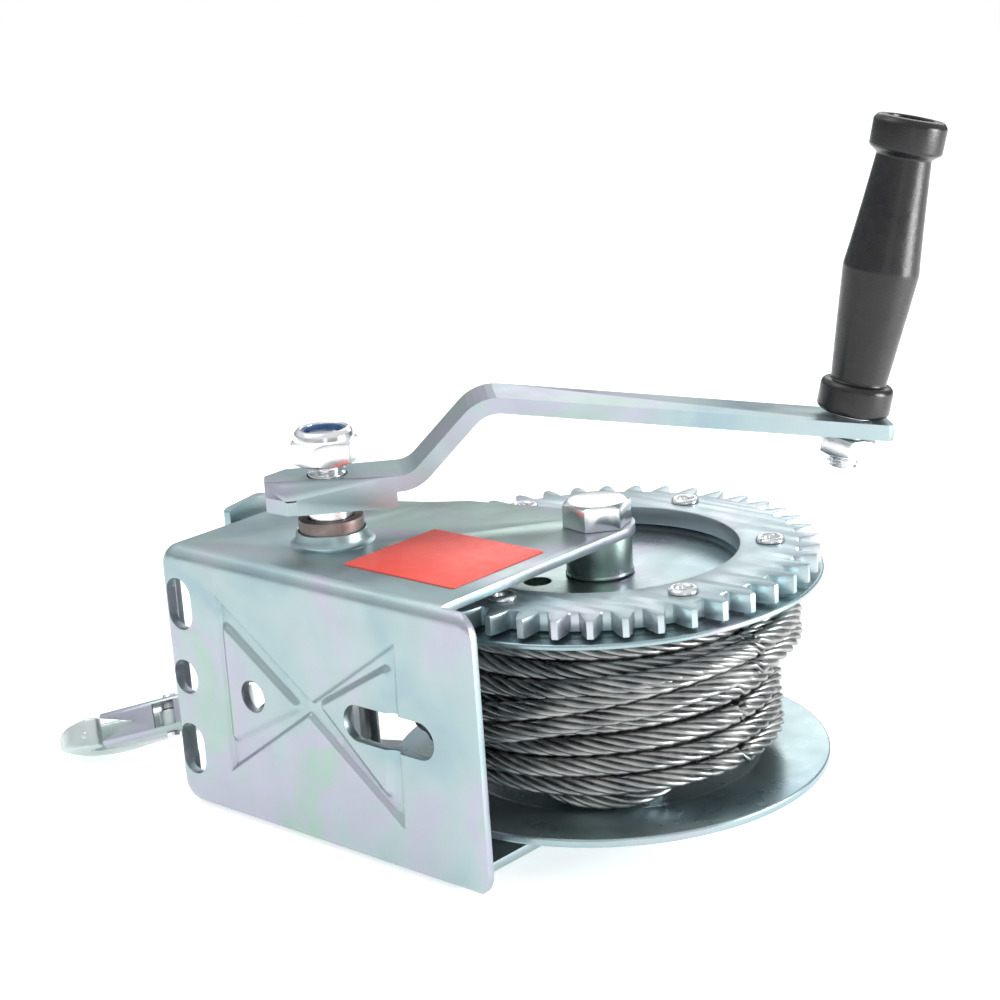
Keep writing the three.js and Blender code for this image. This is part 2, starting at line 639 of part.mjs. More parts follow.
function shaftClip() {
  const mouth = box([0, 14], [-3, 3], [CLIP_BOTTOM - 1, CLIP_TOP + 1])
    .translate([PINION.x, PINION.y, 0]);
  return ring(SHAFT_RADIUS - 0.6, 10, CLIP_BOTTOM, CLIP_TOP, PINION, 32).subtract(mouth);
}

function addCrank() {
  add('crank_shaft', crankShaft(), bright());
  add('pinion_gear', pinionGear(), steel());
  add('ratchet_wheel', ratchetWheel(), steel());
  const bore = SHAFT_RADIUS + GAP;
  add('shaft_spacer', ring(bore, 9.5, CLIP_TOP + 0.4, GEAR_BOTTOM - 0.2, PINION, 32), steel());
  add('shaft_clip', shaftClip(), steel());

  const nutBottom = 69.5;
  const nutTop = 80.5;
  const crown = turned([
    [0, nutTop - 4.5], [9.3, nutTop - 4.5], [8.8, nutTop - 1.4], [7.6, nutTop], [0, nutTop],
  ], PINION, 24);
  add('crank_nut', hexagon(BOLT_HEX, nutBottom, nutTop - 3.5, PINION, THREE.MathUtils.degToRad(29))
    .add(crown)
    .subtract(disc(BOLT_RADIUS + GAP, nutBottom - 1, nutTop + 1, PINION, 24))
    .subtract(disc(7.2, nutTop - 3, nutTop + 1, PINION, 24)), bright());
  add('nut_nylon_ring',
    ring(BOLT_RADIUS + 0.1, 6.9, nutTop - 2.8, nutTop - 0.4, PINION, 24), blueNylon());

  const crank = crankGroup();
  add('crank_arm', crankArm(), zinc(), crank);
  addGrip(gripGroup(crank));
}

function addGrip(group) {
  const axis = new THREE.Vector2();
  const hole = GRIP_BOLT_RADIUS + GAP;
  const nutTop = -ARM_THICKNESS - 0.9;
  const nutBottom = nutTop - 6.4;
  const top = GRIP_BOTTOM + GRIP_LENGTH;
  const seat = top - 10;                    // the bolt head lies this deep in the open top
  add('grip_bolt', turned([
    [0, nutBottom - 4], [4.3, nutBottom - 4], [5, nutBottom - 3.3], [5, seat + 0.3],
    [6.7, seat + 0.3], [6.7, seat + 5.6], [6, seat + 6.2], [0, seat + 6.2],
  ], axis, 20), bright(), group);
  add('grip_nut', hexNut(GRIP_HEX, nutBottom, nutTop, hole, axis, THREE.MathUtils.degToRad(-5)),
    bright(), group);
  add('grip_washer', ring(hole, 7.5, 0.55, GRIP_BOTTOM - 0.1, axis, 24), steel(), group);
  const bore = GRIP_BOLT_RADIUS + 0.4;
  add('grip', turned([
    [bore, GRIP_BOTTOM], [9.9, GRIP_BOTTOM], [11.5, GRIP_BOTTOM + 1.5], [11.5, 9.8], [10.4, 11.2],
    [8.8, 11.5], [11.9, 47.2], [8.5, 82.8], [10.2, 83.2], [11.4, 84.6], [11.4, top - 1.7],
    [9.9, top], [7.2, top], [7.2, seat], [bore, seat],
  ], axis, 24), blackPlastic(), group);
}

// ---------------------------------------------------------------- pawl
// A flat pawl under the side plate. Its nose points at the ratchet wheel; its tail comes out
// past the plate's left edge and turns up as a finger tab.
function pawl() {
  const low = RATCHET_BOTTOM + 0.1;
  const high = RATCHET_TOP - 0.1;
  const outline = new THREE.Shape();
  outline.moveTo(22, 5.5);
  outline.quadraticCurveTo(16, 8.5, 8, 8);
  outline.lineTo(-9, 7.6);
  outline.lineTo(-13, 9);
  outline.lineTo(-24.1, 9);
  outline.lineTo(-24.1, -4);
  outline.lineTo(-13, -4);
  outline.quadraticCurveTo(-9, -4, -6, -6.5);
  outline.quadraticCurveTo(0, -9, 6, -5.5);
  outline.quadraticCurveTo(12, -1, 17, 2.5);
  const tab = new THREE.Shape();
  tab.moveTo(-8, low);
  tab.lineTo(15, low);
  tab.lineTo(15, 42.5);
  tab.bezierCurveTo(12, 45.4, 8.5, 46.3, 5.5, 46.2);
  tab.lineTo(-6.5, 44.8);
  tab.quadraticCurveTo(-8, 44.6, -8, 43.2);
  return extrude(outline, low, high, 8)
    .add(extrudeAlongX(tab, -24.3, -21.3, 8))
    .subtract(disc(PIVOT_RADIUS + GAP, 30, 50, new THREE.Vector2(), 20))
    .translate([PAWL_PIVOT.x, PAWL_PIVOT.y, 0]);
}

// An outline in Y and Z, extruded along X.
function extrudeAlongX(shape, low, high, curveSegments = 6) {
  const geometry = new THREE.ExtrudeGeometry(shape, {
    depth: high - low, bevelEnabled: false, curveSegments,
  });
  const y = new THREE.Vector3(0, 1, 0);
  const z = new THREE.Vector3(0, 0, 1);
  const x = new THREE.Vector3(1, 0, 0);
  geometry.applyMatrix4(new THREE.Matrix4().makeBasis(y, z, x));
  return solid(geometry.translate(low, 0, 0));
}

// ---------------------------------------------------------------- rope end and hook
// The hook's own place: origin at the middle of its eye, X from the eye to the nose, Y towards
// the side where the throat opens, Z through the hook's thickness.
function hookGroup() {
  const level = new THREE.Vector3(Math.cos(HOOK_HEADING), Math.sin(HOOK_HEADING), 0);
  const up = new THREE.Vector3(0, 0, 1);
  const toNose = level.clone().multiplyScalar(-Math.cos(HOOK_PITCH))
    .addScaledVector(up, -Math.sin(HOOK_PITCH));
  const sideways = new THREE.Vector3().crossVectors(level, up);
  const raised = new THREE.Vector3().crossVectors(sideways, toNose).negate().normalize();
  if (raised.z < 0) raised.negate();
  const throat = raised.clone().multiplyScalar(Math.cos(HOOK_ROLL))
    .addScaledVector(sideways, Math.sin(HOOK_ROLL)).normalize();
  const through = new THREE.Vector3().crossVectors(toNose, throat);
  const group = new THREE.Group();
  group.applyMatrix4(new THREE.Matrix4().makeBasis(toNose, throat, through));
  group.position.copy(HOOK_EYE);
  group.updateMatrixWorld(true);
  winch.add(group);
  return group;
}

const HINGE = new THREE.Vector2(20, 2);         // the latch's pin, in the hook's own place
const LATCH_END = 44;

function hookBody() {
  const half = HOOK_HALF_THICKNESS;
  const outline = new THREE.Shape();
  outline.moveTo(0, -8.5);
  outline.bezierCurveTo(12, -11, 22, -12, 33, -11.8);
  outline.bezierCurveTo(47, -11.4, 63.5, -8.6, 63.5, -1.5);
  outline.bezierCurveTo(63.5, 4, 57, 8.2, 48.5, 8.4);
  outline.lineTo(45.2, 7);
  outline.lineTo(45.2, 3.6);
  outline.bezierCurveTo(50, 3.2, 52, 1.5, 52, -0.6);
  outline.bezierCurveTo(52, -4, 46, -4.6, 33, -4.8);
  outline.lineTo(26, -4);
  outline.lineTo(24, 0);
  outline.lineTo(16, 0);
  outline.lineTo(8, 4);
  const eye = disc(9, -half, half, new THREE.Vector2(), 32);
  const lug = disc(4.5, -half, half, HINGE, 24);
  return extrude(outline, -half, half, 8)
    .add(eye)
    .add(lug)
    .subtract(disc(4.8, -10, 10, new THREE.Vector2(), 24))
    .subtract(disc(4.7, 1.8, 10, HINGE, 24))
    .subtract(disc(1.8, -10, 10, HINGE, 16));
}

// A folded sheet that closes the throat: two cheeks astride the hook and a web across them.
function hookLatch() {
  const inside = HOOK_HALF_THICKNESS + 0.4;
  const outside = inside + 1;
  const cheek = new THREE.Shape();
  cheek.moveTo(14, -2);
  cheek.lineTo(14, 7.8);
  cheek.lineTo(LATCH_END, 7.8);
  cheek.lineTo(LATCH_END, 3.6);
  cheek.lineTo(26, -2);
  const notch = new THREE.Shape();
  notch.moveTo(LATCH_END + 1, -4);
  notch.lineTo(LATCH_END + 1, 4);
  notch.lineTo(32.2, 0.8);
  notch.lineTo(32.2, -0.8);
  return extrude(cheek, -outside, outside)
    .subtract(box([0, 60], [-10, 6.8], [-inside, inside]))
    .subtract(extrudeAlongY(notch, 5, 9))
    .subtract(box([16.5, 24.4], [5, 9], [-4.2, 4.2]))
    .subtract(disc(1.8, -10, 10, HINGE, 16));
}

function ropeLoop() {
  const half = [
    [0.8, 0], [0.3, 4], [-2.5, 8], [-7, 8.8], [-14, 6.4], [-22, 3.4],
  ];
  const points = half.slice(1).reverse().map(([x, z]) => new THREE.Vector3(x, 0, -z));
  half.forEach(([x, z]) => points.push(new THREE.Vector3(x, 0, z)));
  return tube(points, ROPE_RADIUS, 32, 8);
}

const FERRULE_NEAR = -23.8;
const FERRULE_FAR = -37;

function ferrule() {
  const section = new THREE.Shape();
  section.absarc(0, 3.4, 4, 0, Math.PI);
  section.absarc(0, -3.4, 4, Math.PI, 2 * Math.PI);
  const geometry = new THREE.ExtrudeGeometry(section, {
    depth: FERRULE_NEAR - FERRULE_FAR, bevelEnabled: false, curveSegments: 8,
  });
  const x = new THREE.Vector3(1, 0, 0);
  const y = new THREE.Vector3(0, 1, 0);
  const z = new THREE.Vector3(0, 0, 1);
  geometry.applyMatrix4(new THREE.Matrix4().makeBasis(y, z, x));
  return solid(geometry.translate(FERRULE_FAR, 0, 0));
}

function cableTail(hook) {
  const alongHook = (x) => hook.localToWorld(new THREE.Vector3(x, 0, 0));
  const contact = WINDING_RADIUS + ROPE_RADIUS + GAP;
  const points = [alongHook(FERRULE_FAR - 0.3), alongHook(FERRULE_FAR - 8)];
  points.push(new THREE.Vector3(-35.5, 69.5, -12));
  points.push(new THREE.Vector3(-27, 87, -15.5));
  points.push(new THREE.Vector3(-18.5, 104.5, -18.5));
  for (const degrees of [145, 138, 131]) {
    const place = polar(DRUM, contact, THREE.MathUtils.degToRad(degrees));
    points.push(new THREE.Vector3(place.x, place.y, -19.5));
  }
  return tube(points, ROPE_RADIUS, 40, 8);
}

function addHook() {
  const hook = hookGroup();
  add('hook', hookBody(), steel(), hook);
  add('hook_latch', hookLatch(), zinc(), hook);
  add('latch_pin', turned([
    [0, -7.3], [2.2, -7.3], [2.6, -6.2], [1.5, -6.2], [1.5, 6.2], [2.6, 6.2], [2.2, 7.3], [0, 7.3],
  ], HINGE, 16), bright(), hook);
  add('latch_spring', ring(1.9, 3.3, 2.1, 4.4, HINGE, 20), steel(), hook);
  add('cable_loop', ropeLoop(), rope(), hook);
  add('ferrule', ferrule(), zinc(), hook);
  add('cable_tail', cableTail(hook), rope());
}

addFrame();
addDrum();
addCrank();
add('pawl', pawl(), zinc());
addHook();
winch.updateMatrixWorld(true);

export default winch;
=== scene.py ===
import json
import math

import bmesh
import bpy
from mathutils import Matrix, Vector


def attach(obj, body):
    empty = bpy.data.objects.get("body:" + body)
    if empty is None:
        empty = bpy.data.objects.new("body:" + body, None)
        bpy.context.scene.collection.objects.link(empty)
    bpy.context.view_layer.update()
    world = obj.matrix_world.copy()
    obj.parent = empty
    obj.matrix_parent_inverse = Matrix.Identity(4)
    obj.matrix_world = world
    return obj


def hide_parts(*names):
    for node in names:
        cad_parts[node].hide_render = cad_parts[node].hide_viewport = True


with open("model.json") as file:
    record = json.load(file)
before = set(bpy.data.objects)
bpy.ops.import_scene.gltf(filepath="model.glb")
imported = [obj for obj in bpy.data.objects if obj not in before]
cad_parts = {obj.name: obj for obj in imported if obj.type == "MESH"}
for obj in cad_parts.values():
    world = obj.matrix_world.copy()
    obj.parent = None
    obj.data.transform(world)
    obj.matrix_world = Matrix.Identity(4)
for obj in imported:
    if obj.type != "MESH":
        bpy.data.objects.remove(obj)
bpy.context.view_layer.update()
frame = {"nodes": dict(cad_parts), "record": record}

MM = 0.001
NODES = frame["nodes"]

# ------------------------------------------------------------------ driving dimensions (mm)
SIDE_TOP = 44.0                 # outer face of the crank-side plate
SHEET = 3.0
BEND_RADIUS = 5.0
BASE_HALF = 69.0
LIP_DEPTH = 6.5
BASE_RIGHT_END = 66.4           # cut straight, with no lip
CORNER_RADIUS = 7.5
PLATE_RIGHT_EDGE = 53.5
DRUM = Vector((42.0, 86.5, 0.0))
MESH_ANGLE = math.radians(221.5)
GEAR_MODULE = 3.125
GEAR_TEETH, PINION_TEETH = 42, 11
CENTRES = GEAR_MODULE * (GEAR_TEETH + PINION_TEETH) / 2
PINION = DRUM + CENTRES * Vector((math.cos(MESH_ANGLE), math.sin(MESH_ANGLE), 0.0))
ROPE_DIAMETER = 6.3
WINDING_RADIUS = 56.5
CRANK_HEADING = math.radians(47)
WINDING_BOTTOM = -25.0
UNDER_RADIUS = 47.0             # to the middle of the rope
HIGHEST_WRAP_RADIUS = 59.4
FLOOR_LEAN = 0.104              # the winch stands on its base edge and on the drum nut

# ------------------------------------------------------------------ camera
camera = bpy.data.objects.new("camera", bpy.data.cameras.new("camera"))
bpy.context.collection.objects.link(camera)
camera.data.lens = 83.69
camera.data.sensor_width = 36.0
camera.data.clip_start = 0.01
CAMERA_AZIMUTH = math.radians(42.943)
CAMERA_ELEVATION = math.radians(16.26)
CAMERA_ROLL = math.radians(-3.979)
view = Vector((
    -math.sin(CAMERA_AZIMUTH) * math.cos(CAMERA_ELEVATION),
    math.cos(CAMERA_AZIMUTH) * math.cos(CAMERA_ELEVATION),
    -math.sin(CAMERA_ELEVATION),
))
level_right = Vector((math.cos(CAMERA_AZIMUTH), math.sin(CAMERA_AZIMUTH), 0.0))
level_up = level_right.cross(view)
right = level_right * math.cos(CAMERA_ROLL) + level_up * math.sin(CAMERA_ROLL)
up = level_up * math.cos(CAMERA_ROLL) - level_right * math.sin(CAMERA_ROLL)
turn = Matrix((right, up, -view)).transposed().to_4x4()
camera.matrix_world = Matrix.Translation(Vector((492.44, -441.27, 256.0)) * MM) @ turn
bpy.context.scene.camera = camera


# ------------------------------------------------------------------ mesh helpers
def new_object(name, bm, smooth_angle=35.0):
    """A piece from a bmesh in millimetres; faces meeting at less than smooth_angle are smooth."""
    bmesh.ops.recalc_face_normals(bm, faces=bm.faces)
    bmesh.ops.scale(bm, vec=(MM, MM, MM), verts=bm.verts)
    mesh = bpy.data.meshes.new(name)
    bm.to_mesh(mesh)
    bm.free()
    obj = bpy.data.objects.new(name, mesh)
    bpy.context.collection.objects.link(obj)
    shade(obj, smooth_angle)
    return obj


def shade(obj, smooth_angle=35.0):
    mesh = obj.data
    mesh.polygons.foreach_set("use_smooth", [True] * len(mesh.polygons))
    mesh.set_sharp_from_angle(angle=math.radians(smooth_angle))


def baked(obj):
    """The object with its modifiers applied."""
    depsgraph = bpy.context.evaluated_depsgraph_get()
    mesh = bpy.data.meshes.new_from_object(obj.evaluated_get(depsgraph))
    mesh.name = obj.name
    obj.modifiers.clear()
    obj.data = mesh
    return obj


def boolean(obj, cutter, operation="DIFFERENCE"):
    modifier = obj.modifiers.new("cut", "BOOLEAN")
    modifier.operation = operation
    modifier.solver = "EXACT"
    modifier.object = cutter
    baked(obj)
    bpy.data.objects.remove(cutter)
    return obj


def bevel(obj, width, angle=40.0, segments=2, smooth_angle=30.0):
    """Rounds the piece's sharp edges by width mm."""
    flat = obj.modifiers.new("flat", "DECIMATE")
    flat.decimate_type = "DISSOLVE"
    flat.angle_limit = math.radians(1.0)
    edges = obj.modifiers.new("edges", "BEVEL")
    edges.width = width * MM
    edges.segments = segments
    edges.limit_method = "ANGLE"
    edges.angle_limit = math.radians(angle)
    baked(obj)
    shade(obj, smooth_angle)
    return obj


def joined(name, objects):
    """Several objects made into one piece."""
    bm = bmesh.new()
    for obj in objects:
        bm.from_mesh(obj.data)
        bpy.data.objects.remove(obj)
    mesh = bpy.data.meshes.new(name)
    bm.to_mesh(mesh)
    bm.free()
    obj = bpy.data.objects.new(name, mesh)
    bpy.context.collection.objects.link(obj)
    shade(obj)
    return obj


def lathe(name, profile, centre=(0, 0, 0), segments=96):
    """A turned piece about Z from [radius, z] points, closed on itself or ending on the axis."""
    bm = bmesh.new()
    rings = []
    for radius, z in profile:
        if radius < 1e-6:
            rings.append([bm.verts.new((centre[0], centre[1], centre[2] + z))])
            continue
        rings.append([
            bm.verts.new((
                centre[0] + radius * math.cos(2 * math.pi * i / segments),
                centre[1] + radius * math.sin(2 * math.pi * i / segments),
                centre[2] + z,
            ))
            for i in range(segments)
        ])
    closed = profile[0][0] > 1e-6
    pairs = list(zip(rings, rings[1:])) + ([(rings[-1], rings[0])] if closed else [])
    for low, high in pairs:
        for i in range(segments):
            k = (i + 1) % segments
            if len(low) == 1:
                bm.faces.new((low[0], high[i], high[k]))
            elif len(high) == 1:
                bm.faces.new((low[i], low[k], high[0]))
            else:
                bm.faces.new((low[i], low[k], high[k], high[i]))
    return new_object(name, bm)


def rounded(profile, radius, steps=3):
    """A profile with its corners rounded to about radius mm."""
    out = []
    count = len(profile)
    closed = profile[0][0] > 1e-6
    for i, point in enumerate(profile):
        here = Vector(point)
        if not closed and i in (0, count - 1):
            out.append(point)
            continue
        before = Vector(profile[i - 1])
        after = Vector(profile[(i + 1) % count])
        cut = min(radius, (before - here).length / 2.1, (after - here).length / 2.1)
        start = here + (before - here).normalized() * cut
        end = here + (after - here).normalized() * cut
        for k in range(steps + 1):
            t = k / steps
            spot = start * (1 - t) ** 2 + here * 2 * t * (1 - t) + end * t ** 2
            out.append((spot.x, spot.y))
    return out


def plate(name, outlines, low, high, round_edge):
    """A flat plate in X and Y between two heights, from an outline and the outlines of its
    holes, with rounded edges."""
    curve = bpy.data.curves.new(name, "CURVE")
    curve.dimensions = "2D"
    curve.fill_mode = "BOTH"
    for outline in outlines:
        spline = curve.splines.new("POLY")
        spline.points.add(len(outline) - 1)
        for point, (x, y) in zip(spline.points, outline):
            point.co = (x * MM, y * MM, 0, 1)
        spline.use_cyclic_u = True
    curve.extrude = ((high - low) / 2 - round_edge) * MM
    curve.bevel_depth = round_edge * MM
    curve.bevel_resolution = 1
    curve.offset = -round_edge * MM
    source = bpy.data.objects.new(name, curve)
    bpy.context.collection.objects.link(source)
    depsgraph = bpy.context.evaluated_depsgraph_get()
    mesh = bpy.data.meshes.new_from_object(source.evaluated_get(depsgraph))
    bpy.data.objects.remove(source)
    mesh.transform(Matrix.Translation((0, 0, (high + low) / 2 * MM)))
    obj = bpy.data.objects.new(name, mesh)
    bpy.context.collection.objects.link(obj)
    bm = bmesh.new()
    bm.from_mesh(mesh)
    bmesh.ops.remove_doubles(bm, verts=bm.verts, dist=1e-6)
    bmesh.ops.recalc_face_normals(bm, faces=bm.faces)
    bm.to_mesh(mesh)
    bm.free()
    shade(obj, 30)
    return obj


def arc(centre, radius, start, end, count):
    """Points on an arc, angles in degrees."""
    return [
        (
            centre[0] + radius * math.cos(math.radians(start + (end - start) * i / count)),
            centre[1] + radius * math.sin(math.radians(start + (end - start) * i / count)),
        )
        for i in range(count + 1)
    ]


def circle(centre, radius, count=48):
    return arc(centre, radius, 0, 360 - 360 / count, count - 1)


def block(name, low, high):
    bm = bmesh.new()
    bmesh.ops.create_cube(bm, size=1.0)
    size = Vector(high) - Vector(low)
    bmesh.ops.scale(bm, vec=size, verts=bm.verts)
    bmesh.ops.translate(bm, vec=(Vector(high) + Vector(low)) / 2, verts=bm.verts)
    return new_object(name, bm)


def placed(obj, matrix):
    """Moves a piece's own geometry, in the row frame, by a matrix in millimetres."""
    obj.data.transform(Matrix.Translation(matrix.to_translation() * MM) @ matrix.to_3x3().to_4x4())
    return obj


# ------------------------------------------------------------------ rope
STRANDS = 6
SAMPLES_PER_STRAND = 6
LAY_LENGTH = 38.0


def rope_section(radius):
    """Angles and radii round a rope of six strands laid about a core."""
    strand = radius / 3
    core = 2 * radius / 3
    points = []
    for lobe in range(STRANDS):
        for k in range(SAMPLES_PER_STRAND):
            off = math.radians(-30 + 60 * k / SAMPLES_PER_STRAND)
            reach = core * math.cos(off) + math.sqrt(
                max(strand ** 2 - (core * math.sin(off)) ** 2, 0.0))
            points.append((math.radians(60 * lobe) + off, reach))
    return points


def add_rope(bm, path, radius, phase=0.0, cyclic=False):
    """Sweeps the rope's section along a path of points in mm, with UVs round and along it."""
    uv = bm.loops.layers.uv.verify()
    section = rope_section(radius)
    count = len(path)
    tangents = []
    for i in range(count):
        ahead = path[(i + 1) % count] if cyclic else path[min(i + 1, count - 1)]
        behind = path[i - 1] if cyclic else path[max(i - 1, 0)]
        tangents.append((ahead - behind).normalized())
    side = tangents[0].orthogonal().normalized()
    rings = []
    lengths = [0.0]
    for i in range(count):
        if i:
            lengths.append(lengths[-1] + (path[i] - path[i - 1]).length)
        side = (side - tangents[i] * side.dot(tangents[i])).normalized()
        other = tangents[i].cross(side)
        twist = phase + 2 * math.pi * lengths[i] / LAY_LENGTH
        rings.append([
            bm.verts.new(
                path[i] + (side * math.cos(a + twist) + other * math.sin(a + twist)) * reach)
            for a, reach in section
        ])
    sides = len(section)
    spans = range(count if cyclic else count - 1)
    for i in spans:
        j = (i + 1) % count
        for k in range(sides):
            n = (k + 1) % sides
            face = bm.faces.new((rings[i][k], rings[i][n], rings[j][n], rings[j][k]))
            face.smooth = True
            far = lengths[i] + (path[j] - path[i]).length
            corners = ((k, lengths[i]), (k + 1, lengths[i]), (k + 1, far), (k, far))
            for loop, (around, along) in zip(face.loops, corners):
                twist = phase / (2 * math.pi) + along / LAY_LENGTH
                loop[uv].uv = (around / sides + twist, along / 100.0)
    if not cyclic:
        bm.faces.new(list(reversed(rings[0])))
        bm.faces.new(rings[-1])


def smooth_path(points, step):
    """A Catmull-Rom curve through the points, sampled about every step mm."""
    pts = [Vector(p) for p in points]
    pts = [pts[0] * 2 - pts[1]] + pts + [pts[-1] * 2 - pts[-2]]
    out = []
    for a, b, c, d in zip(pts, pts[1:], pts[2:], pts[3:]):
        count = max(2, round((c - b).length / step))
        for k in range(count):
            t = k / count
            out.append(0.5 * (
                2 * b + (c - a) * t + (2 * a - 5 * b + 4 * c - d) * t * t
                + (3 * b - a - 3 * c + d) * t ** 3))
    out.append(pts[-2].copy())
    return out


def around_drum(degrees, radius, z):
    angle = math.radians(degrees)
    return Vector((DRUM.x + radius * math.cos(angle), DRUM.y + radius * math.sin(angle), z))


# The hook's own place: X from its eye to its nose, Y towards the throat's open side.
HOOK_EYE = Vector((-80.8, 33.0, -23.7))
heading, pitch, roll = (math.radians(a) for a in (33, 14.4, 58.7))
hook_level = Vector((math.cos(heading), math.sin(heading), 0))
hook_x = -hook_level * math.cos(pitch) - Vector((0, 0, math.sin(pitch)))
hook_side = hook_level.cross(Vector((0, 0, 1)))
hook_raised = hook_x.cross(hook_side).normalized()
if hook_raised.z < 0:
    hook_raised.negate()
hook_y = (hook_raised * math.cos(roll) + hook_side * math.sin(roll)).normalized()
HOOK = Matrix((hook_x, hook_y, hook_x.cross(hook_y))).transposed().to_4x4()
HOOK.translation = HOOK_EYE
FERRULE_FAR = -37.0


def on_hook(x, y=0.0, z=0.0):
    return HOOK @ Vector((x, y, z))


# The free rope from the winding to the ferrule, made whole: the object holds it at both ends.
tail_contact = WINDING_RADIUS + ROPE_DIAMETER / 2 + 0.3
tail_points = [around_drum(a, tail_contact, -19.5) for a in (131, 138, 145)]
tail_points += [Vector((-18.5, 104.5, -18.5)), Vector((-27, 87, -15.5)), Vector((-35.5, 69.5, -12))]
tail_points += [on_hook(FERRULE_FAR - 8), on_hook(FERRULE_FAR - 0.3)]
tail_path = smooth_path(tail_points, 2.0)
bm = bmesh.new()
add_rope(bm, tail_path, ROPE_DIAMETER / 2)
cable_tail = new_object("rope_tail", bm, 80)
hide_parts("cable_tail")


# ------------------------------------------------------------------ materials
def nodes_of(name):
    material = bpy.data.materials.new(name)
    material.use_nodes = True
    tree = material.node_tree
    shader = tree.nodes["Principled BSDF"]
    return material, tree, shader


def add_node(tree, kind, **settings):
    node = tree.nodes.new(kind)
    for key, value in settings.items():
        if key in node.inputs:
            node.inputs[key].default_value = value
        else:
            setattr(node, key, value)
    return node


def ramp(tree, source, stops):
    node = tree.nodes.new("ShaderNodeValToRGB")
    elements = node.color_ramp.elements
    while len(elements) < len(stops):
        elements.new(0.5)
    for element, (place, colour) in zip(elements, stops):
        element.position = place
        element.color = (*colour, 1.0)
    tree.links.new(source, node.inputs["Fac"])
    return node.outputs["Color"]


def ranged(tree, source, low, high):
    node = add_node(tree, "ShaderNodeMapRange")
    node.inputs["From Min"].default_value = 0.35
    node.inputs["From Max"].default_value = 0.65
    node.inputs["To Min"].default_value = low
    node.inputs["To Max"].default_value = high
    tree.links.new(source, node.inputs["Value"])
    return node.outputs["Result"]


PATCH_RANGE = (0.36, 0.64)      # the noise values that a surface's colours are spread over


def grainy(name, stops, metallic, roughness, patch, grain, bump):
    """A surface whose colour drifts in soft patches, with mottled gloss and a fine grain."""
    material, tree, shader = nodes_of(name)
    shader.inputs["Metallic"].default_value = metallic
    coords = add_node(tree, "ShaderNodeTexCoord")
    patches = add_node(tree, "ShaderNodeTexNoise", Scale=patch, Detail=3.0, Distortion=0.8)
    mottle = add_node(tree, "ShaderNodeTexNoise", Scale=patch * 5, Detail=5.0)
    fine = add_node(tree, "ShaderNodeTexNoise", Scale=grain, Detail=6.0)
    for texture in (patches, mottle, fine):
        tree.links.new(coords.outputs["Object"], texture.inputs["Vector"])
    low, high = PATCH_RANGE
    places = [low + (high - low) * i / (len(stops) - 1) for i in range(len(stops))]
    colour = ramp(tree, patches.outputs["Fac"], list(zip(places, stops)))
    tree.links.new(colour, shader.inputs["Base Color"])
    tree.links.new(ranged(tree, mottle.outputs["Fac"], *roughness), shader.inputs["Roughness"])
    relief = add_node(tree, "ShaderNodeBump", Strength=bump, Distance=0.0002)
    tree.links.new(fine.outputs["Fac"], relief.inputs["Height"])
    tree.links.new(relief.outputs["Normal"], shader.inputs["Normal"])
    return material


ZINC_HUES = [(0.31, 0.42, 0.46), (0.36, 0.47, 0.48), (0.40, 0.48, 0.50), (0.44, 0.45, 0.53),
             (0.37, 0.49, 0.45)]
zinc = grainy("zinc_plate", ZINC_HUES, 0.88, (0.30, 0.42), 16, 1400, 0.12)
zinc_soft = grainy("zinc_flange", ZINC_HUES, 0.9, (0.24, 0.36), 12, 900, 0.10)
gear_zinc = grainy("zinc_gear", [(0.40, 0.50, 0.53), (0.46, 0.55, 0.57), (0.54, 0.57, 0.62)],
                   0.88, (0.30, 0.42), 22, 1600, 0.15)
bright = grainy("bright_fastener", [(0.74, 0.76, 0.78), (0.80, 0.81, 0.82), (0.78, 0.80, 0.83)],
                0.97, (0.14, 0.24), 60, 1500, 0.06)
steel = grainy("machined_steel", [(0.50, 0.52, 0.54), (0.60, 0.61, 0.62)],
               0.95, (0.28, 0.40), 60, 1500, 0.1)
bronze = grainy("sintered_bush", [(0.20, 0.16, 0.15), (0.34, 0.28, 0.26)],
                0.75, (0.38, 0.55), 120, 2600, 0.4)
forged = grainy("forged_zinc", [(0.52, 0.62, 0.60), (0.60, 0.68, 0.66), (0.64, 0.68, 0.70)],
                0.85, (0.34, 0.48), 40, 1700, 0.35)
plastic = grainy("black_plastic", [(0.004, 0.004, 0.005), (0.008, 0.008, 0.009)],
                 0.0, (0.22, 0.32), 60, 2400, 0.25)
nylon = grainy("blue_nylon", [(0.03, 0.09, 0.22), (0.05, 0.13, 0.30)],
               0.0, (0.35, 0.5), 200, 2400, 0.15)
label_red = grainy("red_label", [(0.93, 0.075, 0.05), (0.97, 0.10, 0.07)],
                   0.0, (0.32, 0.42), 60, 2600, 0.08)


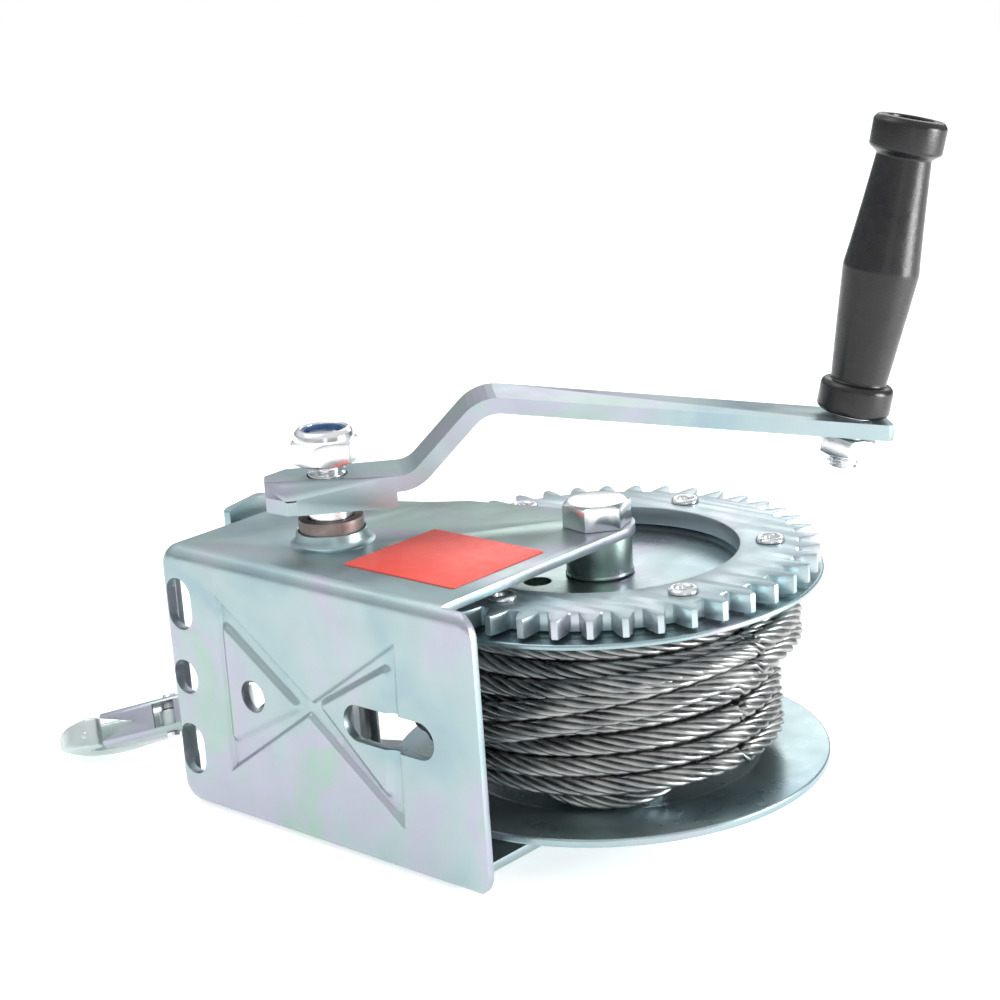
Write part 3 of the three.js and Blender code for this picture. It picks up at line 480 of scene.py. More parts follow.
def rope_material():
    """Wire rope: fine wires that run nearly along it, on strands that wind round it."""
    material, tree, shader = nodes_of("wire_rope")
    shader.inputs["Metallic"].default_value = 0.92
    uv = add_node(tree, "ShaderNodeUVMap", uv_map="UVMap")
    split = add_node(tree, "ShaderNodeSeparateXYZ")
    tree.links.new(uv.outputs["UV"], split.inputs["Vector"])
    turns = add_node(tree, "ShaderNodeMath", operation="MULTIPLY")
    turns.inputs[1].default_value = 2 * math.pi * 30
    tree.links.new(split.outputs["X"], turns.inputs[0])
    wave = add_node(tree, "ShaderNodeMath", operation="SINE")
    tree.links.new(turns.outputs[0], wave.inputs[0])
    relief = add_node(tree, "ShaderNodeBump", Strength=0.5, Distance=0.00015)
    tree.links.new(wave.outputs[0], relief.inputs["Height"])
    tree.links.new(relief.outputs["Normal"], shader.inputs["Normal"])
    coords = add_node(tree, "ShaderNodeTexCoord")
    patches = add_node(tree, "ShaderNodeTexNoise", Scale=90.0, Detail=4.0)
    tree.links.new(coords.outputs["Object"], patches.inputs["Vector"])
    colour = ramp(tree, patches.outputs["Fac"],
                  [(0.35, (0.20, 0.21, 0.21)), (0.5, (0.30, 0.31, 0.305)), (0.65, (0.40, 0.41, 0.40))])
    tree.links.new(colour, shader.inputs["Base Color"])
    tree.links.new(ranged(tree, patches.outputs["Fac"], 0.26, 0.40), shader.inputs["Roughness"])
    return material


rope = rope_material()


def finish_piece(obj, material, node):
    """Gives a piece its material and slot, and puts it in the place of a CAD node."""
    obj.data.materials.clear()
    obj.data.materials.append(material)
    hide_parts(node)
    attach(obj, body_of_node[node])
    return obj


body_of_node = {
    node: body
    for body, nodes in frame["record"]["behaviour"]["bodies"].items()
    for node in nodes
}


def refined(node, width, material, segments=2):
    """A copy of a CAD node with rounded edges, in its place."""
    obj = bpy.data.objects.new(node + "_piece", NODES[node].data.copy())
    bpy.context.collection.objects.link(obj)
    bevel(obj, width, segments=segments, smooth_angle=32)
    return finish_piece(obj, material, node)


finish_piece(cable_tail, rope, "cable_tail")


# ------------------------------------------------------------------ frame plate
# The bow-tie groove pressed into the base plate and the level triangles in it, in X and Z.
GROOVE = [(-42.6, 31.4), (-43.3, -28.9), (-3.8, -1.4), (34.3, -29.2), (36.0, 30.8), (-2.0, 4.6)]
ISLANDS = [
    [(-39.0, 19.8), (-39.3, -15.0), (-10.5, 0.8)],
    [(30.5, 19.5), (3.5, 3.4), (27.5, -17.8)],
]
PRESS_DEPTH = 1.5
GROOVE_WALL = 1.6               # width of the steep wall at the groove's outside
ISLAND_SLOPE = 3.0              # width of the gentle slope up to each triangle
GRID = 3.0                      # the base plate is cut into squares of this size


def distance_inside(x, z, corners):
    """How far a point lies inside a polygon; negative outside."""
    nearest = 1e9
    inside = False
    for (x0, z0), (x1, z1) in zip(corners, corners[1:] + corners[:1]):
        ex, ez = x1 - x0, z1 - z0
        t = max(0.0, min(1.0, ((x - x0) * ex + (z - z0) * ez) / (ex * ex + ez * ez)))
        nearest = min(nearest, math.hypot(x - x0 - t * ex, z - z0 - t * ez))
        if (z0 > z) != (z1 > z) and x < x0 + (z - z0) * ex / ez:
            inside = not inside
    return nearest if inside else -nearest


def eased(t):
    t = max(0.0, min(1.0, t))
    return t * t * (3 - 2 * t)


def pressed(x, z):
    """How deep the groove is at a place on the base plate."""
    wall = eased(distance_inside(x, z, GROOVE) / GROOVE_WALL)
    for island in ISLANDS:
        wall *= eased(-distance_inside(x, z, island) / ISLAND_SLOPE)
    return PRESS_DEPTH * wall


def groove_cuts():
    """Lines (point, normal) that the surface is cut along so that the groove's walls are crisp."""
    for corners, width, steps in [(GROOVE, GROOVE_WALL, 4)] + [(i, ISLAND_SLOPE, 5) for i in ISLANDS]:
        for (x0, z0), (x1, z1) in zip(corners, corners[1:] + corners[:1]):
            normal = Vector((z1 - z0, 0, x0 - x1)).normalized()
            middle = Vector(((x0 + x1) / 2, 0, (z0 + z1) / 2))
            inwards = distance_inside(*(middle + normal * 0.1).xz, corners) > 0
            into_groove = normal if inwards == (corners is GROOVE) else -normal
            for k in range(steps + 1):
                yield middle + into_groove * width * k / steps, normal
    for k in range(-14, 13):
        yield Vector((GRID * k, 0, 0)), Vector((1, 0, 0))
    for k in range(-10, 11):
        yield Vector((0, 0, GRID * k)), Vector((0, 0, 1))


def press_groove(obj):
    """Cuts the base plate finely and sinks the groove into both of its faces."""
    top = (SHEET + 0.2) * MM    # everything below this is the base plate

    def base_faces():
        return [f for f in bm.faces if all(v.co.y < top for v in f.verts)]

    bm = bmesh.new()
    bm.from_mesh(obj.data)
    for point, normal in groove_cuts():
        faces = base_faces()
        edges = {e for f in faces for e in f.edges}
        verts = {v for f in faces for v in f.verts}
        bmesh.ops.bisect_plane(bm, geom=[*faces, *edges, *verts], dist=1e-7,
                               plane_co=point * MM, plane_no=normal)
    bmesh.ops.triangulate(bm, faces=base_faces())
    for vert in bm.verts:
        if vert.co.y < top:
            vert.co.y += pressed(vert.co.x / MM, vert.co.z / MM) * MM
    bm.to_mesh(obj.data)
    bm.free()


def side_outline():
    tip = 12.5
    centre = (PLATE_RIGHT_EDGE - tip, DRUM.y)
    points = [(PLATE_RIGHT_EDGE, 4.5)]
    points += arc(centre, tip, 0, 107, 24)
    points += [(-8, 86), (-11, 85.2), (-14, 83.4), (-17, 81.2), (-20.5, 79), (-25, 76.6), (-30.6, 74.1)]
    points += [(-66, 57.6), (-67.6, 56.4), (-68.6, 54.6), (-69.0, 52)]
    points += [(-70, 52), (-70, 15), (-69, 15), (-68.3, 9.8), (-66.5, 7.1), (-63.5, 5.1), (-59, 4.5)]
    return points


def prism(name, outline, low, high, axis="Z"):
    """A straight prism; with axis Y the outline is in X and Z."""
    bm = bmesh.new()
    ends = []
    for level in (low, high):
        if axis == "Z":
            ends.append([bm.verts.new((x, y, level)) for x, y in outline])
        else:
            ends.append([bm.verts.new((x, level, z)) for x, z in outline])
    count = len(outline)
    for i in range(count):
        k = (i + 1) % count
        bm.faces.new((ends[0][i], ends[0][k], ends[1][k], ends[1][i]))
    bm.faces.new(ends[0])
    bm.faces.new(ends[1])
    return new_object(name, bm)


def slot_outline(x, z, size_x, size_z):
    steps = 16
    radius = min(size_x, size_z) / 2
    dx, dz = size_x / 2 - radius, size_z / 2 - radius
    if dz >= dx:
        return arc((x, z + dz), radius, 0, 180, steps) + arc((x, z - dz), radius, 180, 360, steps)
    return arc((x + dx, z), radius, -90, 90, steps) + arc((x - dx, z), radius, 90, 270, steps)


BASE_HOLES = [
    (-59.8, 25.2, 11.5, 17.3), (-60.3, 0.5, 11.5, 11.5), (-60.6, -24.2, 11.5, 17.3),
    (-28.7, 0.2, 10.6, 10.6), (30.4, 1.3, 37.4, 11.8),
]


def pan(inset):
    """The solid round-edged tray that the bent sheet follows, moved in by inset mm."""
    radius = CORNER_RADIUS - inset
    outline = []
    for x, z, start in ((1, 1, 0), (-1, 1, 90), (-1, -1, 180), (1, -1, 270)):
        centre = (x * (BASE_HALF - CORNER_RADIUS), z * (SIDE_TOP - CORNER_RADIUS))
        outline += arc(centre, radius, start, start + 90, 10)
    obj = prism("pan", outline, inset, 110, "Y")
    bm = bmesh.new()
    bm.from_mesh(obj.data)
    edges = [e for e in bm.edges if all(abs(v.co.y - inset * MM) < 1e-6 for v in e.verts)]
    bmesh.ops.bevel(bm, geom=edges, offset=(BEND_RADIUS - inset) * MM, segments=8, profile=0.5,
                    affect="EDGES")
    bm.to_mesh(obj.data)
    bm.free()
    return obj


def right_end_outline():
    """The flat end of the base plate past the side plates, with its round corners."""
    radius = 8.0
    centre_x, centre_z = BASE_RIGHT_END - radius, SIDE_TOP - radius
    outline = [(PLATE_RIGHT_EDGE - 2, -SIDE_TOP - 1), (centre_x, -SIDE_TOP - 1)]
    outline += arc((centre_x, -centre_z), radius, 270, 360, 12)
    outline += arc((centre_x, centre_z), radius, 0, 90, 12)
    outline += [(centre_x, SIDE_TOP + 1), (PLATE_RIGHT_EDGE - 2, SIDE_TOP + 1)]
    return outline


def build_frame():
    plate_piece = boolean(pan(0.0), pan(SHEET))
    region = prism("region", side_outline(), -60, 60)
    boolean(region, block("inside", (-90, LIP_DEPTH, SHEET - SIDE_TOP), (90, 120, SIDE_TOP - SHEET)))
    boolean(region, block("base", (-90, -1, -60), (PLATE_RIGHT_EDGE - 0.01, LIP_DEPTH, 60)), "UNION")
    boolean(region, prism("right_end", right_end_outline(), -1, SHEET, "Y"), "UNION")
    boolean(plate_piece, region, "INTERSECT")
    for hole in BASE_HOLES:
        boolean(plate_piece, prism("hole", slot_outline(*hole), -3, 9, "Y"))
    for centre, radius in ((PINION, 10.5), (DRUM, 6.4)):
        boolean(plate_piece, prism("hole", circle(centre, radius, 64), -60, 60))
    bevel(plate_piece, 0.35, angle=50)
    press_groove(plate_piece)
    collar = [(10.55, 43.0), (13.4, 43.0), (13.4, 44.02), (12.6, 44.25), (12.0, 44.8), (11.5, 46.2),
              (11.2, 48.1), (10.9, 48.3), (10.55, 48.1)]
    low_collar = [(r, -min(z, 45.4)) for r, z in collar]
    parts = [plate_piece, lathe("collar", collar, PINION), lathe("collar", low_collar, PINION)]
    return joined("frame_plate_piece", parts)


frame_plate = finish_piece(build_frame(), zinc, "frame_plate")
shade(frame_plate, 32)

decal_outline = arc((2, 16.5), 1, 180, 270, 4) + arc((45.5, 16.5), 1, 270, 360, 4)
decal_outline += arc((45.5, 55), 1, 0, 90, 4) + arc((2, 55), 1, 90, 180, 4)
LABEL_LOW, LABEL_HIGH = 44.02, 44.3
decal = plate("decal_piece", [decal_outline], LABEL_LOW, LABEL_HIGH, 0.05)
finish_piece(decal, label_red, "info_decal")


# ------------------------------------------------------------------ fasteners
M12_RADIUS, M12_PITCH = 5.95, 1.75
M10_RADIUS, M10_PITCH = 4.95, 1.5


def hex_outline(across_flats, centre=(0, 0), turn_degrees=0.0):
    reach = across_flats / math.sqrt(3)
    return [
        (
            centre[0] + reach * math.cos(math.radians(turn_degrees + 60 * k)),
            centre[1] + reach * math.sin(math.radians(turn_degrees + 60 * k)),
        )
        for k in range(6)
    ]


def hex_piece(name, across_flats, low, high, centre, turn_degrees=0.0, bore=0.0, both=True):
    """A hexagon head or nut with chamfered corners."""
    body = prism(name, hex_outline(across_flats, centre, turn_degrees), low, high)
    face = across_flats / 2 * 0.96
    reach = across_flats / math.sqrt(3) + 0.05
    drop = (reach - face) * math.tan(math.radians(30))
    foot = [(0, low), (face, low), (reach, low + drop)] if both else [(0, low), (reach, low)]
    cone = lathe("cone", foot + [(reach, high - drop), (face, high), (0, high)],
                 (centre[0], centre[1], 0), 72)
    boolean(body, cone, "INTERSECT")
    if bore:
        boolean(body, prism("bore", circle(centre, bore, 48), low - 1, high + 1))
    edges = body.modifiers.new("edges", "BEVEL")
    edges.width = 0.25 * MM
    edges.segments = 2
    edges.limit_method = "ANGLE"
    edges.angle_limit = math.radians(25)
    baked(body)
    shade(body, 24)
    return body


def threaded(name, radius, pitch, low, high, centre):
    """A threaded rod's surface with closed, tapered ends."""
    segments, tip = 48, 0.8
    depth = 0.6 * pitch
    steps = max(4, round((high - low) / pitch * 8))
    bm = bmesh.new()
    rings = []
    for j in range(steps + 1):
        z = low + (high - low) * j / steps
        taper = max(0.0, tip - (high - z)) + max(0.0, tip - (z - low))
        ring = []
        for i in range(segments):
            phase = (z / pitch - i / segments) % 1.0
            cut = abs(2 * phase - 1)
            crest = max(0.0, min(1.0, 1.35 * cut - 0.12))
            reach = radius - depth * crest - taper
            angle = 2 * math.pi * i / segments
            ring.append(bm.verts.new(
                (centre[0] + reach * math.cos(angle), centre[1] + reach * math.sin(angle), z)))
        rings.append(ring)
    for a, b in zip(rings, rings[1:]):
        for i in range(segments):
            k = (i + 1) % segments
            bm.faces.new((a[i], a[k], b[k], b[i]))
    bm.faces.new(list(reversed(rings[0])))
    bm.faces.new(rings[-1])
    return new_object(name, bm, 60)


# Drum bolt: flat chamfered head above the plate, shank, threaded end below.
bolt_head = hex_piece("bolt_head", 19, 44.1, 52, (DRUM.x, DRUM.y), 50, both=False)
shank = lathe("shank", [(0, -40), (M12_RADIUS, -40), (M12_RADIUS, 50), (0, 50)], DRUM, 48)
bolt_end = threaded("bolt_end", M12_RADIUS, M12_PITCH, -53, -39.5, DRUM)
drum_bolt = joined("drum_bolt_piece", [bolt_head, shank, bolt_end])
shade(drum_bolt, 24)
finish_piece(drum_bolt, bright, "drum_bolt")
drum_nut = hex_piece("drum_nut_piece", 19, -53, -45.6, (DRUM.x, DRUM.y), 8, bore=6.0)
finish_piece(drum_nut, bright, "drum_nut")
washer = lathe("drum_washer_piece", rounded([(6.3, -45.5), (12, -45.5), (12, -44.1), (6.3, -44.1)], 0.25),
               DRUM, 64)
finish_piece(washer, bright, "drum_washer")

spacer = rounded([(8.3, 28.5), (10.8, 28.5), (10.8, 29.1), (10.5, 29.5), (10.5, 40.9),
                  (8.3, 40.9)], 0.3)
finish_piece(lathe("spacer_upper_piece", spacer, DRUM), zinc_soft, "spacer_upper")
refined("spacer_lower", 0.3, zinc_soft)
refined("axle_sleeve", 0.2, steel)
bush = rounded([(7.3, 41.2), (10.25, 41.2), (10.25, 52.2), (7.3, 52.2)], 0.5)
finish_piece(lathe("pinion_bush_upper_piece", bush, PINION), bronze, "pinion_bush_upper")
refined("pinion_bush_lower", 0.3, bronze)
refined("pawl_stud", 0.3, bright)
refined("pawl", 0.5, zinc, segments=3)
shade(NODES["pawl_spring"], 60)
NODES["pawl_spring"].data.materials.clear()
NODES["pawl_spring"].data.materials.append(steel)


# ------------------------------------------------------------------ drum
def gear_outline(teeth, thinning, centre, start):
    """An involute gear's outline; start is the direction of a tooth's middle, in radians."""
    flank_steps = 5
    pressure = math.radians(20)
    pitch = GEAR_MODULE * teeth / 2
    base = pitch * math.cos(pressure)
    tip = pitch + GEAR_MODULE
    root = pitch - 1.3 * GEAR_MODULE

    def half(radius):
        angle = math.acos(base / max(radius, base))
        flare = (math.tan(pressure) - pressure) - (math.tan(angle) - angle)
        return math.pi / (2 * teeth) - thinning / (2 * pitch) + flare

    flank = [root, root + 0.5]
    low = max(base, root + 0.8)
    flank += [low + (tip - low) * k / flank_steps for k in range(flank_steps + 1)]
    spread = [0.06 * 8 / pitch] + [0.0] * (len(flank) - 1)
    points = []
    for i in range(teeth):
        middle = start + 2 * math.pi * i / teeth
        for sign in (-1, 1):
            order = list(zip(flank, spread)) if sign < 0 else list(zip(flank, spread))[::-1]
            for radius, extra in order:
                angle = middle + sign * (half(radius) + extra)
                points.append((centre[0] + radius * math.cos(angle), centre[1] + radius * math.sin(angle)))
    return points


ring_outline = gear_outline(GEAR_TEETH, 0.5, DRUM, MESH_ANGLE)
ring_gear = plate("ring_gear_piece", [ring_outline, circle(DRUM, 43.8, 120)], 30.32, 36.3, 0.45)
finish_piece(ring_gear, gear_zinc, "ring_gear")
pinion_outline = gear_outline(PINION_TEETH, 0.5, PINION, MESH_ANGLE + math.pi + math.pi / PINION_TEETH)
pinion = plate("pinion_gear_piece", [pinion_outline, circle(PINION, 7.3, 48)], 30.42, 36.5, 0.3)
finish_piece(pinion, steel, "pinion_gear")
refined("ratchet_wheel", 0.25, steel)
refined("shaft_spacer", 0.3, steel)
refined("shaft_clip", 0.15, steel)


def flange_profile(radius, rim_top, floor_top, step, edge_top):
    sheet = 2.8
    profile = [
        (8.3, floor_top), (step, floor_top), (step + 3, rim_top), (60, rim_top), (63, edge_top),
        (radius - 0.4, edge_top), (radius, edge_top - 0.5), (radius, rim_top - sheet + 0.4),
        (radius - 0.6, rim_top - sheet), (step + 3.4, rim_top - sheet),
        (step + 0.4, floor_top - sheet), (8.3, floor_top - sheet),
    ]
    return rounded(profile, 0.8, 4)


upper_flange = lathe("upper_flange_piece", flange_profile(69.6, 30.0, 28.2, 44.0, 29.1), DRUM, 160)
boolean(upper_flange, prism("hole", circle((31.2, 68.9), 4.4, 32), 20, 35))
shade(upper_flange, 30)
finish_piece(upper_flange, zinc_soft, "upper_flange")
lower_flange = lathe("lower_flange_piece", flange_profile(70.0, -31.2, -33.4, 46.0, -31.2), DRUM, 160)
finish_piece(lower_flange, zinc_soft, "lower_flange")
refined("drum_core", 0.3, zinc_soft)
refined("cable_clamp", 0.3, zinc)
refined("clamp_screw", 0.3, bright)

RIVET = rounded([(0, 25.7), (4.0, 25.7), (4.6, 26.5), (4.6, 27.1), (3.0, 27.1), (3.0, 36.4),
                 (4.65, 36.4), (4.5, 37.2), (3.9, 37.8), (3.1, 37.8), (2.5, 37.3), (2.1, 36.0),
                 (0, 35.4)], 0.35)
RIVET_CIRCLE = 53.3
FIRST_RIVET = -22.9             # degrees from +X
for k in range(6):
    angle = math.radians(FIRST_RIVET + 60 * k)
    centre = DRUM + RIVET_CIRCLE * Vector((math.cos(angle), math.sin(angle), 0))
    rivet = lathe(f"gear_rivet_{k + 1}_piece", RIVET, centre, 40)
    finish_piece(rivet, bright, f"gear_rivet_{k + 1}")


# Each wrap is a closed ring about the drum. The inner ones are level, at these heights. The outer
# ones have a middle height and an amount by which they rise to one side.
LOWEST_WRAP = WINDING_BOTTOM + ROPE_DIAMETER / 2
WRAP_SPACING = 6.19
UNDER_WRAPS = [LOWEST_WRAP + WRAP_SPACING * k for k in range(8)]
OUTER_WRAPS = [
    (-21.7, 0.3), (-9.6, 2.4), (2.9, 4.9), (21.3, 0.2), (15.0, 0.5),
    (-15.7, 1.3), (-3.4, 3.6), (9.2, 6.2), (3.0, 12.0), (-3.6, 12.5),
]
TILT_TOWARDS = 10.0             # direction in degrees that the wraps rise to
WRAP_STEPS = 120
NESTING = 0.92                  # how far a wrap climbs over another, of a full climb
SMOOTHING_PASSES = 6


def stacked_wraps(wraps, layers):
    """Lays each wrap on the ones under it, so that it rides over where they cross."""
    layers = list(layers)
    for middle, tilt in wraps:
        heights = [
            middle + tilt * math.cos(math.radians(360 * i / WRAP_STEPS - TILT_TOWARDS))
            for i in range(WRAP_STEPS)
        ]
        reaches = []
        for i, z in enumerate(heights):
            reach = UNDER_RADIUS
            for other_heights, other_reaches in layers:
                gap = abs(z - other_heights[i])
                if gap < ROPE_DIAMETER:
                    over = math.sqrt(ROPE_DIAMETER ** 2 - gap ** 2)
                    reach = max(reach, other_reaches[i] + NESTING * over)
            reaches.append(min(reach, HIGHEST_WRAP_RADIUS))
        for _ in range(SMOOTHING_PASSES):
            reaches = [
                (reaches[i - 1] + 2 * reaches[i] + reaches[(i + 1) % WRAP_STEPS]) / 4
                for i in range(WRAP_STEPS)
            ]
        layers.append((heights, reaches))
    return layers


def build_winding():
    """Two layers of rings of wire rope, the outer one uneven, and a loose end."""
    bm = bmesh.new()
    under = [([z] * WRAP_STEPS, [UNDER_RADIUS] * WRAP_STEPS) for z in UNDER_WRAPS]
    for number, (heights, reaches) in enumerate(stacked_wraps(OUTER_WRAPS, under)):
        path = [
            around_drum(360 * i / WRAP_STEPS, reaches[i], heights[i]) for i in range(WRAP_STEPS)
        ]
        add_rope(bm, path, ROPE_DIAMETER / 2, phase=number * 0.7, cyclic=True)
    loose_end = [(-84, 45, -23), (-66, 48, -26.6), (-50, 49, -27.6), (-36, 48, -26.6), (-18, 45, -23)]
    add_rope(bm, smooth_path([around_drum(*spot) for spot in loose_end], 2.0), ROPE_DIAMETER / 2)
    return bm


winding = new_object("cable_winding_piece", build_winding(), 80)
winding_core = lathe("winding_core", [(20.5, -24.8), (43, -24.8), (44.5, -22), (44.5, 21.5), (43, 24.4),
                                      (20.5, 24.4)], DRUM, 96)
winding = joined("cable_winding_piece", [winding, winding_core])
shade(winding, 80)
finish_piece(winding, rope, "cable_winding")

# ------------------------------------------------------------------ crank
shaft_body = lathe("shaft_body", rounded([(0, -46.2), (7, -46.2), (7, -37.9), (6.1, -37.9), (6.1, -36.1),
                                          (7, -36.1), (7, 59.2), (5.9, 59.2), (5.9, 66), (0, 66)], 0.2),
                   PINION, 56)
shaft_thread = threaded("shaft_thread", M12_RADIUS, M12_PITCH, 64.5, 79, PINION)
shaft = joined("crank_shaft_piece", [shaft_body, shaft_thread])
finish_piece(shaft, bright, "crank_shaft")

nut_body = hex_piece("nut_body", 19, 69.5, 77.4, (PINION.x, PINION.y), 59, bore=6.0, both=True)
crown = lathe("crown", rounded([(6.9, 76.4), (9.45, 76.4), (9.45, 77.8), (9.1, 79.3), (8.2, 80.3),
                                (7.2, 80.5), (6.8, 80.1), (6.9, 78.4)], 0.3), PINION, 64)
crank_nut = joined("crank_nut_piece", [nut_body, crown])
shade(crank_nut, 26)
finish_piece(crank_nut, bright, "crank_nut")
ring = lathe("nut_ring_piece", rounded([(6.0, 77.6), (6.85, 77.6), (6.85, 79.9), (6.0, 79.9)], 0.2),
             PINION, 48)
finish_piece(ring, nylon, "nut_nylon_ring")

# The crank arm's own place: X from the shaft towards the grip.
ARM = Matrix.Translation(PINION) @ Matrix.Rotation(CRANK_HEADING, 4, "Z")


def corner_strip(side):
    """The hub's lip carried across a clipped corner, with a gap that widens above it."""
    plan = [(-19.5, 3.5), (-16.9, 2.4), (-11.9, 7.4), (-10.0, 7.4), (-10.0, 10.0), (-13.0, 10.0)]
    tops = [64.0, 64.0, 60.0, 60.0, 60.0, 60.0]
    bm = bmesh.new()
    low = [bm.verts.new((x, side * y, 55.8)) for x, y in plan]
    high = [bm.verts.new((x, side * y, top)) for (x, y), top in zip(plan, tops)]
    for i in range(len(plan)):
        k = (i + 1) % len(plan)
        bm.faces.new((low[i], low[k], high[k], high[i]))
    bm.faces.new(low)
    bm.faces.new(high)
    return placed(new_object("corner_strip", bm), ARM)


arm_body = bpy.data.objects.new("arm_body", NODES["crank_arm"].data.copy())
bpy.context.collection.objects.link(arm_body)
bevel(arm_body, 1.1, segments=4)
boolean(arm_body, prism("mark", circle((-14.4, 36.7), 0.9, 20), 67.8, 70))
crank_arm = joined("crank_arm_piece", [arm_body, corner_strip(1), corner_strip(-1)])
finish_piece(crank_arm, zinc, "crank_arm")

GRIP_TILT = math.radians(12.9)
GRIP = ARM @ Matrix.Translation((165.4, 0, 69.3)) @ Matrix.Rotation(GRIP_TILT, 4, "Y")

grip_profile = rounded([
    (5.4, 1.2), (10.0, 1.2), (11.5, 2.4), (11.5, 9.8), (10.6, 11.1), (8.9, 11.3), (8.8, 12.2),
    (9.6, 20.5), (10.6, 32), (11.9, 47.2), (11.2, 53), (9.9, 66), (8.5, 82.4), (9.2, 83.0),
    (11.3, 84.4), (11.4, 92.6), (10.2, 94.2), (7.4, 94.3), (7.2, 93.6), (7.2, 84.4), (5.4, 84.4),
], 0.7, 4)
grip = lathe("grip_piece", grip_profile, (0, 0, 0), 96)
finish_piece(placed(grip, GRIP), plastic, "grip")
bolt_parts = [
    lathe("rod", [(0, -10), (M10_RADIUS, -10), (M10_RADIUS, 86), (0, 86)], (0, 0, 0), 40),
    threaded("rod_end", M10_RADIUS, M10_PITCH, -16.3, -9, (0, 0, 0)),
    hex_piece("rod_head", 11.6, 84.7, 90.4, (0, 0), 10, both=False),
]
grip_bolt = joined("grip_bolt_piece", bolt_parts)
shade(grip_bolt, 26)
finish_piece(placed(grip_bolt, GRIP), bright, "grip_bolt")
grip_nut = hex_piece("grip_nut_piece", 17, -12.3, -5.9, (0, 0), 25, bore=5.0)
finish_piece(placed(grip_nut, GRIP), bright, "grip_nut")
refined("grip_washer", 0.12, steel)

# ------------------------------------------------------------------ hook
NOSE_FROM, NOSE_TIP = 44.0, 63.5  # along the hook, where its nose starts to taper and ends
NOSE_EASE = 14.0                # length over which the nose swells, up to where its taper starts
NOSE_SWELL = 1.18


def build_hook():
    """The forged hook: soft edges everywhere, a nose that swells and tapers, and a small nib."""
    obj = bpy.data.objects.new("hook_piece", NODES["hook"].data.copy())
    bpy.context.collection.objects.link(obj)
    remesh = obj.modifiers.new("remesh", "REMESH")
    remesh.mode = "VOXEL"
    remesh.voxel_size = 0.6 * MM
    smooth = obj.modifiers.new("smooth", "SMOOTH")
    smooth.iterations = 14
    smooth.factor = 0.6
    baked(obj)
    home = HOOK.inverted()
    for vert in obj.data.vertices:
        spot = home @ (vert.co / MM)
        if spot.x > NOSE_FROM - NOSE_EASE:
            swell = 1 + (NOSE_SWELL - 1) * eased((spot.x - NOSE_FROM + NOSE_EASE) / NOSE_EASE)
            t = max(0.0, (spot.x - NOSE_FROM) / (NOSE_TIP - NOSE_FROM))
            spot.z *= swell * math.sqrt(max(1 - 0.9 * t * t, 0.1))
        vert.co = (HOOK @ spot) * MM
    nib = lathe("nib", rounded([(0, -1.5), (1.5, -1.5), (1.4, 0.2), (0.9, 0.8), (0, 0.9)], 0.4),
                (0, 0, 0), 32)
    stand = Matrix.Translation((50, 7.7, -0.5)) @ Matrix.Rotation(math.radians(-90), 4, "X")
    return joined("hook_piece", [obj, placed(nib, HOOK @ stand)])


hook = build_hook()
shade(hook, 60)
finish_piece(hook, forged, "hook")


def build_latch():
    """A folded sheet astride the hook, with a notch at its free end and a window at its hinge."""
    half, top, fold, sheet = 5.9, 7.8, 2.3, 1.0
    outer = [(-half, -2.2)] + arc((-half + fold, top - fold), fold, 180, 90, 6)
    outer += arc((half - fold, top - fold), fold, 90, 0, 6) + [(half, -2.2)]
    inner_fold = fold - sheet
    inner = [(half - sheet, -2.2)] + arc((half - fold, top - fold), inner_fold, 0, 90, 6)
    inner += arc((-half + fold, top - fold), inner_fold, 90, 180, 6) + [(-half + sheet, -2.2)]
    channel = prism("latch", outer + inner, 14.0, 44.0)
    across = Matrix(((0, 0, 1, 0), (0, 1, 0, 0), (-1, 0, 0, 0), (0, 0, 0, 1)))
    placed(channel, across)
    cheek = [(13, -2), (13, 9), (45, 9), (45, 3.6), (44, 3.6), (26, -2)]
    boolean(channel, prism("cheek", cheek, -10, 10), "INTERSECT")
    notch = [(46, -4.3), (46, 4.3), (43.8, 4.0), (34.2, 1.1), (32.6, 0.9), (32.2, 0.0),
             (32.6, -0.9), (34.2, -1.1), (43.8, -4.0)]
    boolean(channel, prism("notch", notch, 5, 9, "Y"))
    window = [(16.5, -4.2), (24.4, -4.2), (24.4, 4.2), (16.5, 4.2)]
    boolean(channel, prism("window", window, 5, 9, "Y"))
    boolean(channel, prism("pin_hole", circle((20, 2), 1.8, 24), -10, 10))
    bevel(channel, 0.18, angle=50)
    return placed(channel, HOOK)


latch = build_latch()
latch.name = "hook_latch_piece"
finish_piece(latch, zinc_soft, "hook_latch")
refined("latch_pin", 0.3, bright)
refined("latch_spring", 0.3, steel)
refined("ferrule", 0.8, zinc_soft, segments=3)
loop_half = [(0.8, 0), (0.3, 4), (-2.5, 8), (-7, 8.8), (-14, 6.4), (-22.6, 3.4)]
loop_points = [on_hook(x, 0, -z) for x, z in reversed(loop_half[1:])]
loop_points += [on_hook(x, 0, z) for x, z in loop_half]
bm = bmesh.new()
add_rope(bm, smooth_path(loop_points, 1.6), ROPE_DIAMETER / 2)
cable_loop = new_object("cable_loop_piece", bm, 80)
finish_piece(cable_loop, rope, "cable_loop")

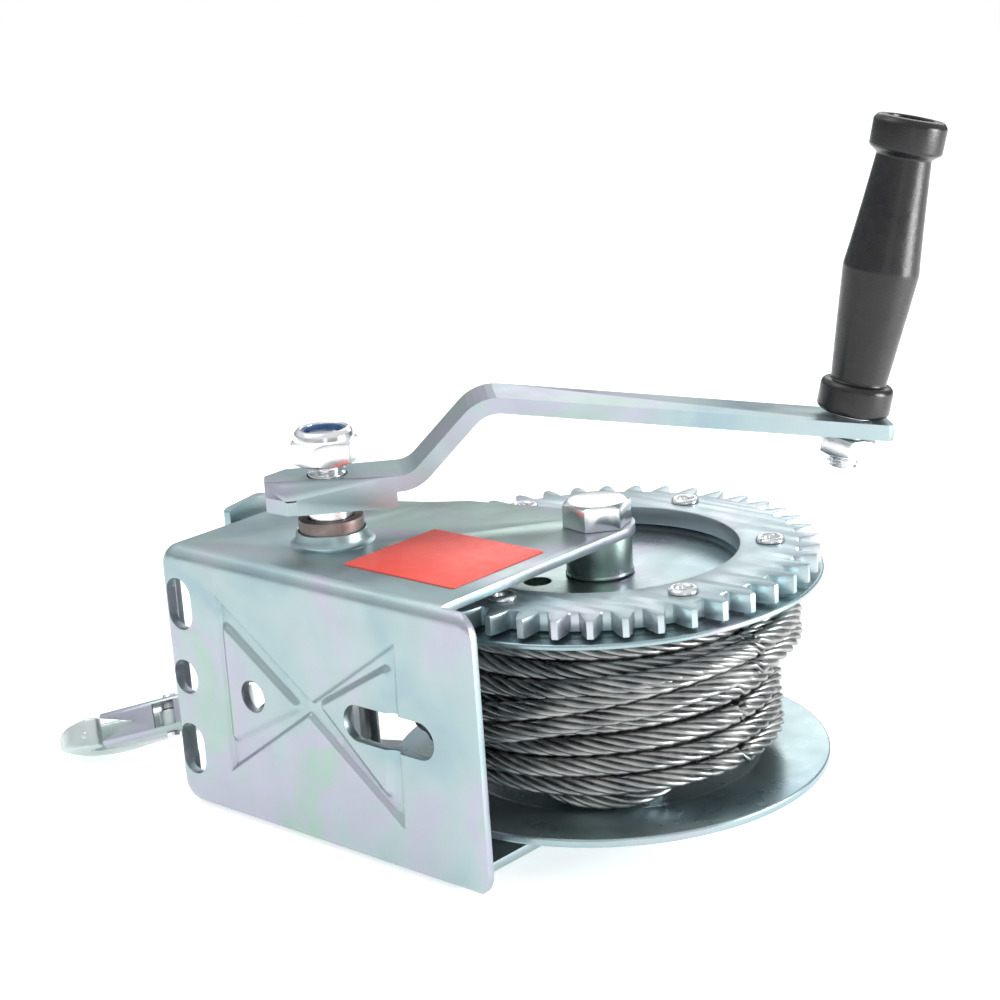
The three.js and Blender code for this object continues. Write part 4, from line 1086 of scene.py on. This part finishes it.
# ------------------------------------------------------------------ floor and light
floor_normal = Vector((0, FLOOR_LEAN, 1)).normalized()
floor_turn = floor_normal.to_track_quat("Z", "Y").to_matrix().to_4x4()
bpy.ops.mesh.primitive_plane_add(size=60)
floor = bpy.context.object
floor.name = "floor"
floor.matrix_world = Matrix.Translation((0, 0, -(SIDE_TOP + 0.15) * MM)) @ floor_turn
floor_material, floor_tree, floor_shader = nodes_of("floor_white")
floor_shader.inputs["Base Color"].default_value = (0.93, 0.93, 0.93, 1)
floor_shader.inputs["Roughness"].default_value = 0.8
floor_shader.inputs["Emission Color"].default_value = (1, 1, 1, 1)
floor_shader.inputs["Emission Strength"].default_value = 0.50
floor.data.materials.append(floor_material)


def soft_light(name, place, target, size, power):
    lamp = bpy.data.lights.new(name, "AREA")
    lamp.shape = "RECTANGLE"
    lamp.size, lamp.size_y = size
    lamp.energy = power
    obj = bpy.data.objects.new(name, lamp)
    bpy.context.collection.objects.link(obj)
    place, target = Vector(place), Vector(target)
    obj.location = place
    obj.rotation_euler = (target - place).to_track_quat("-Z", "Y").to_euler()


CENTRE = (0.02, 0.06, 0.0)
soft_light("key", (-0.5, -0.2, 1.3), CENTRE, (0.9, 0.9), 4.5)
soft_light("fill", (1.2, -0.9, 0.5), CENTRE, (0.35, 0.9), 0.8)
soft_light("back", (-0.5, 1.3, 0.6), CENTRE, (1.0, 0.5), 2.6)
soft_light("rim", (0.8, 0.5, 0.12), CENTRE, (0.35, 0.35), 7)

world = bpy.data.worlds.new("studio")
bpy.context.scene.world = world
world.use_nodes = True
world_tree = world.node_tree
background = world_tree.nodes["Background"]
background.inputs["Strength"].default_value = 1.0
# What is seen directly behind the winch is white. What lights it and shows in it is a grey studio.
path = add_node(world_tree, "ShaderNodeLightPath")
coords = add_node(world_tree, "ShaderNodeTexCoord")
split = add_node(world_tree, "ShaderNodeSeparateXYZ")
world_tree.links.new(coords.outputs["Generated"], split.inputs["Vector"])
heights = ramp(world_tree, split.outputs["Z"], [
    (0.0, (0.16, 0.17, 0.18)), (0.15, (0.34, 0.35, 0.36)), (0.4, (0.80, 0.81, 0.82)),
    (1.0, (0.90, 0.91, 0.92)),
])
mix = add_node(world_tree, "ShaderNodeMix", data_type="RGBA")
world_tree.links.new(path.outputs["Is Camera Ray"], mix.inputs["Factor"])
world_tree.links.new(heights, mix.inputs[6])
mix.inputs[7].default_value = (1, 1, 1, 1)
world_tree.links.new(mix.outputs[2], background.inputs["Color"])
bpy.context.scene.view_settings.view_transform = "Standard"
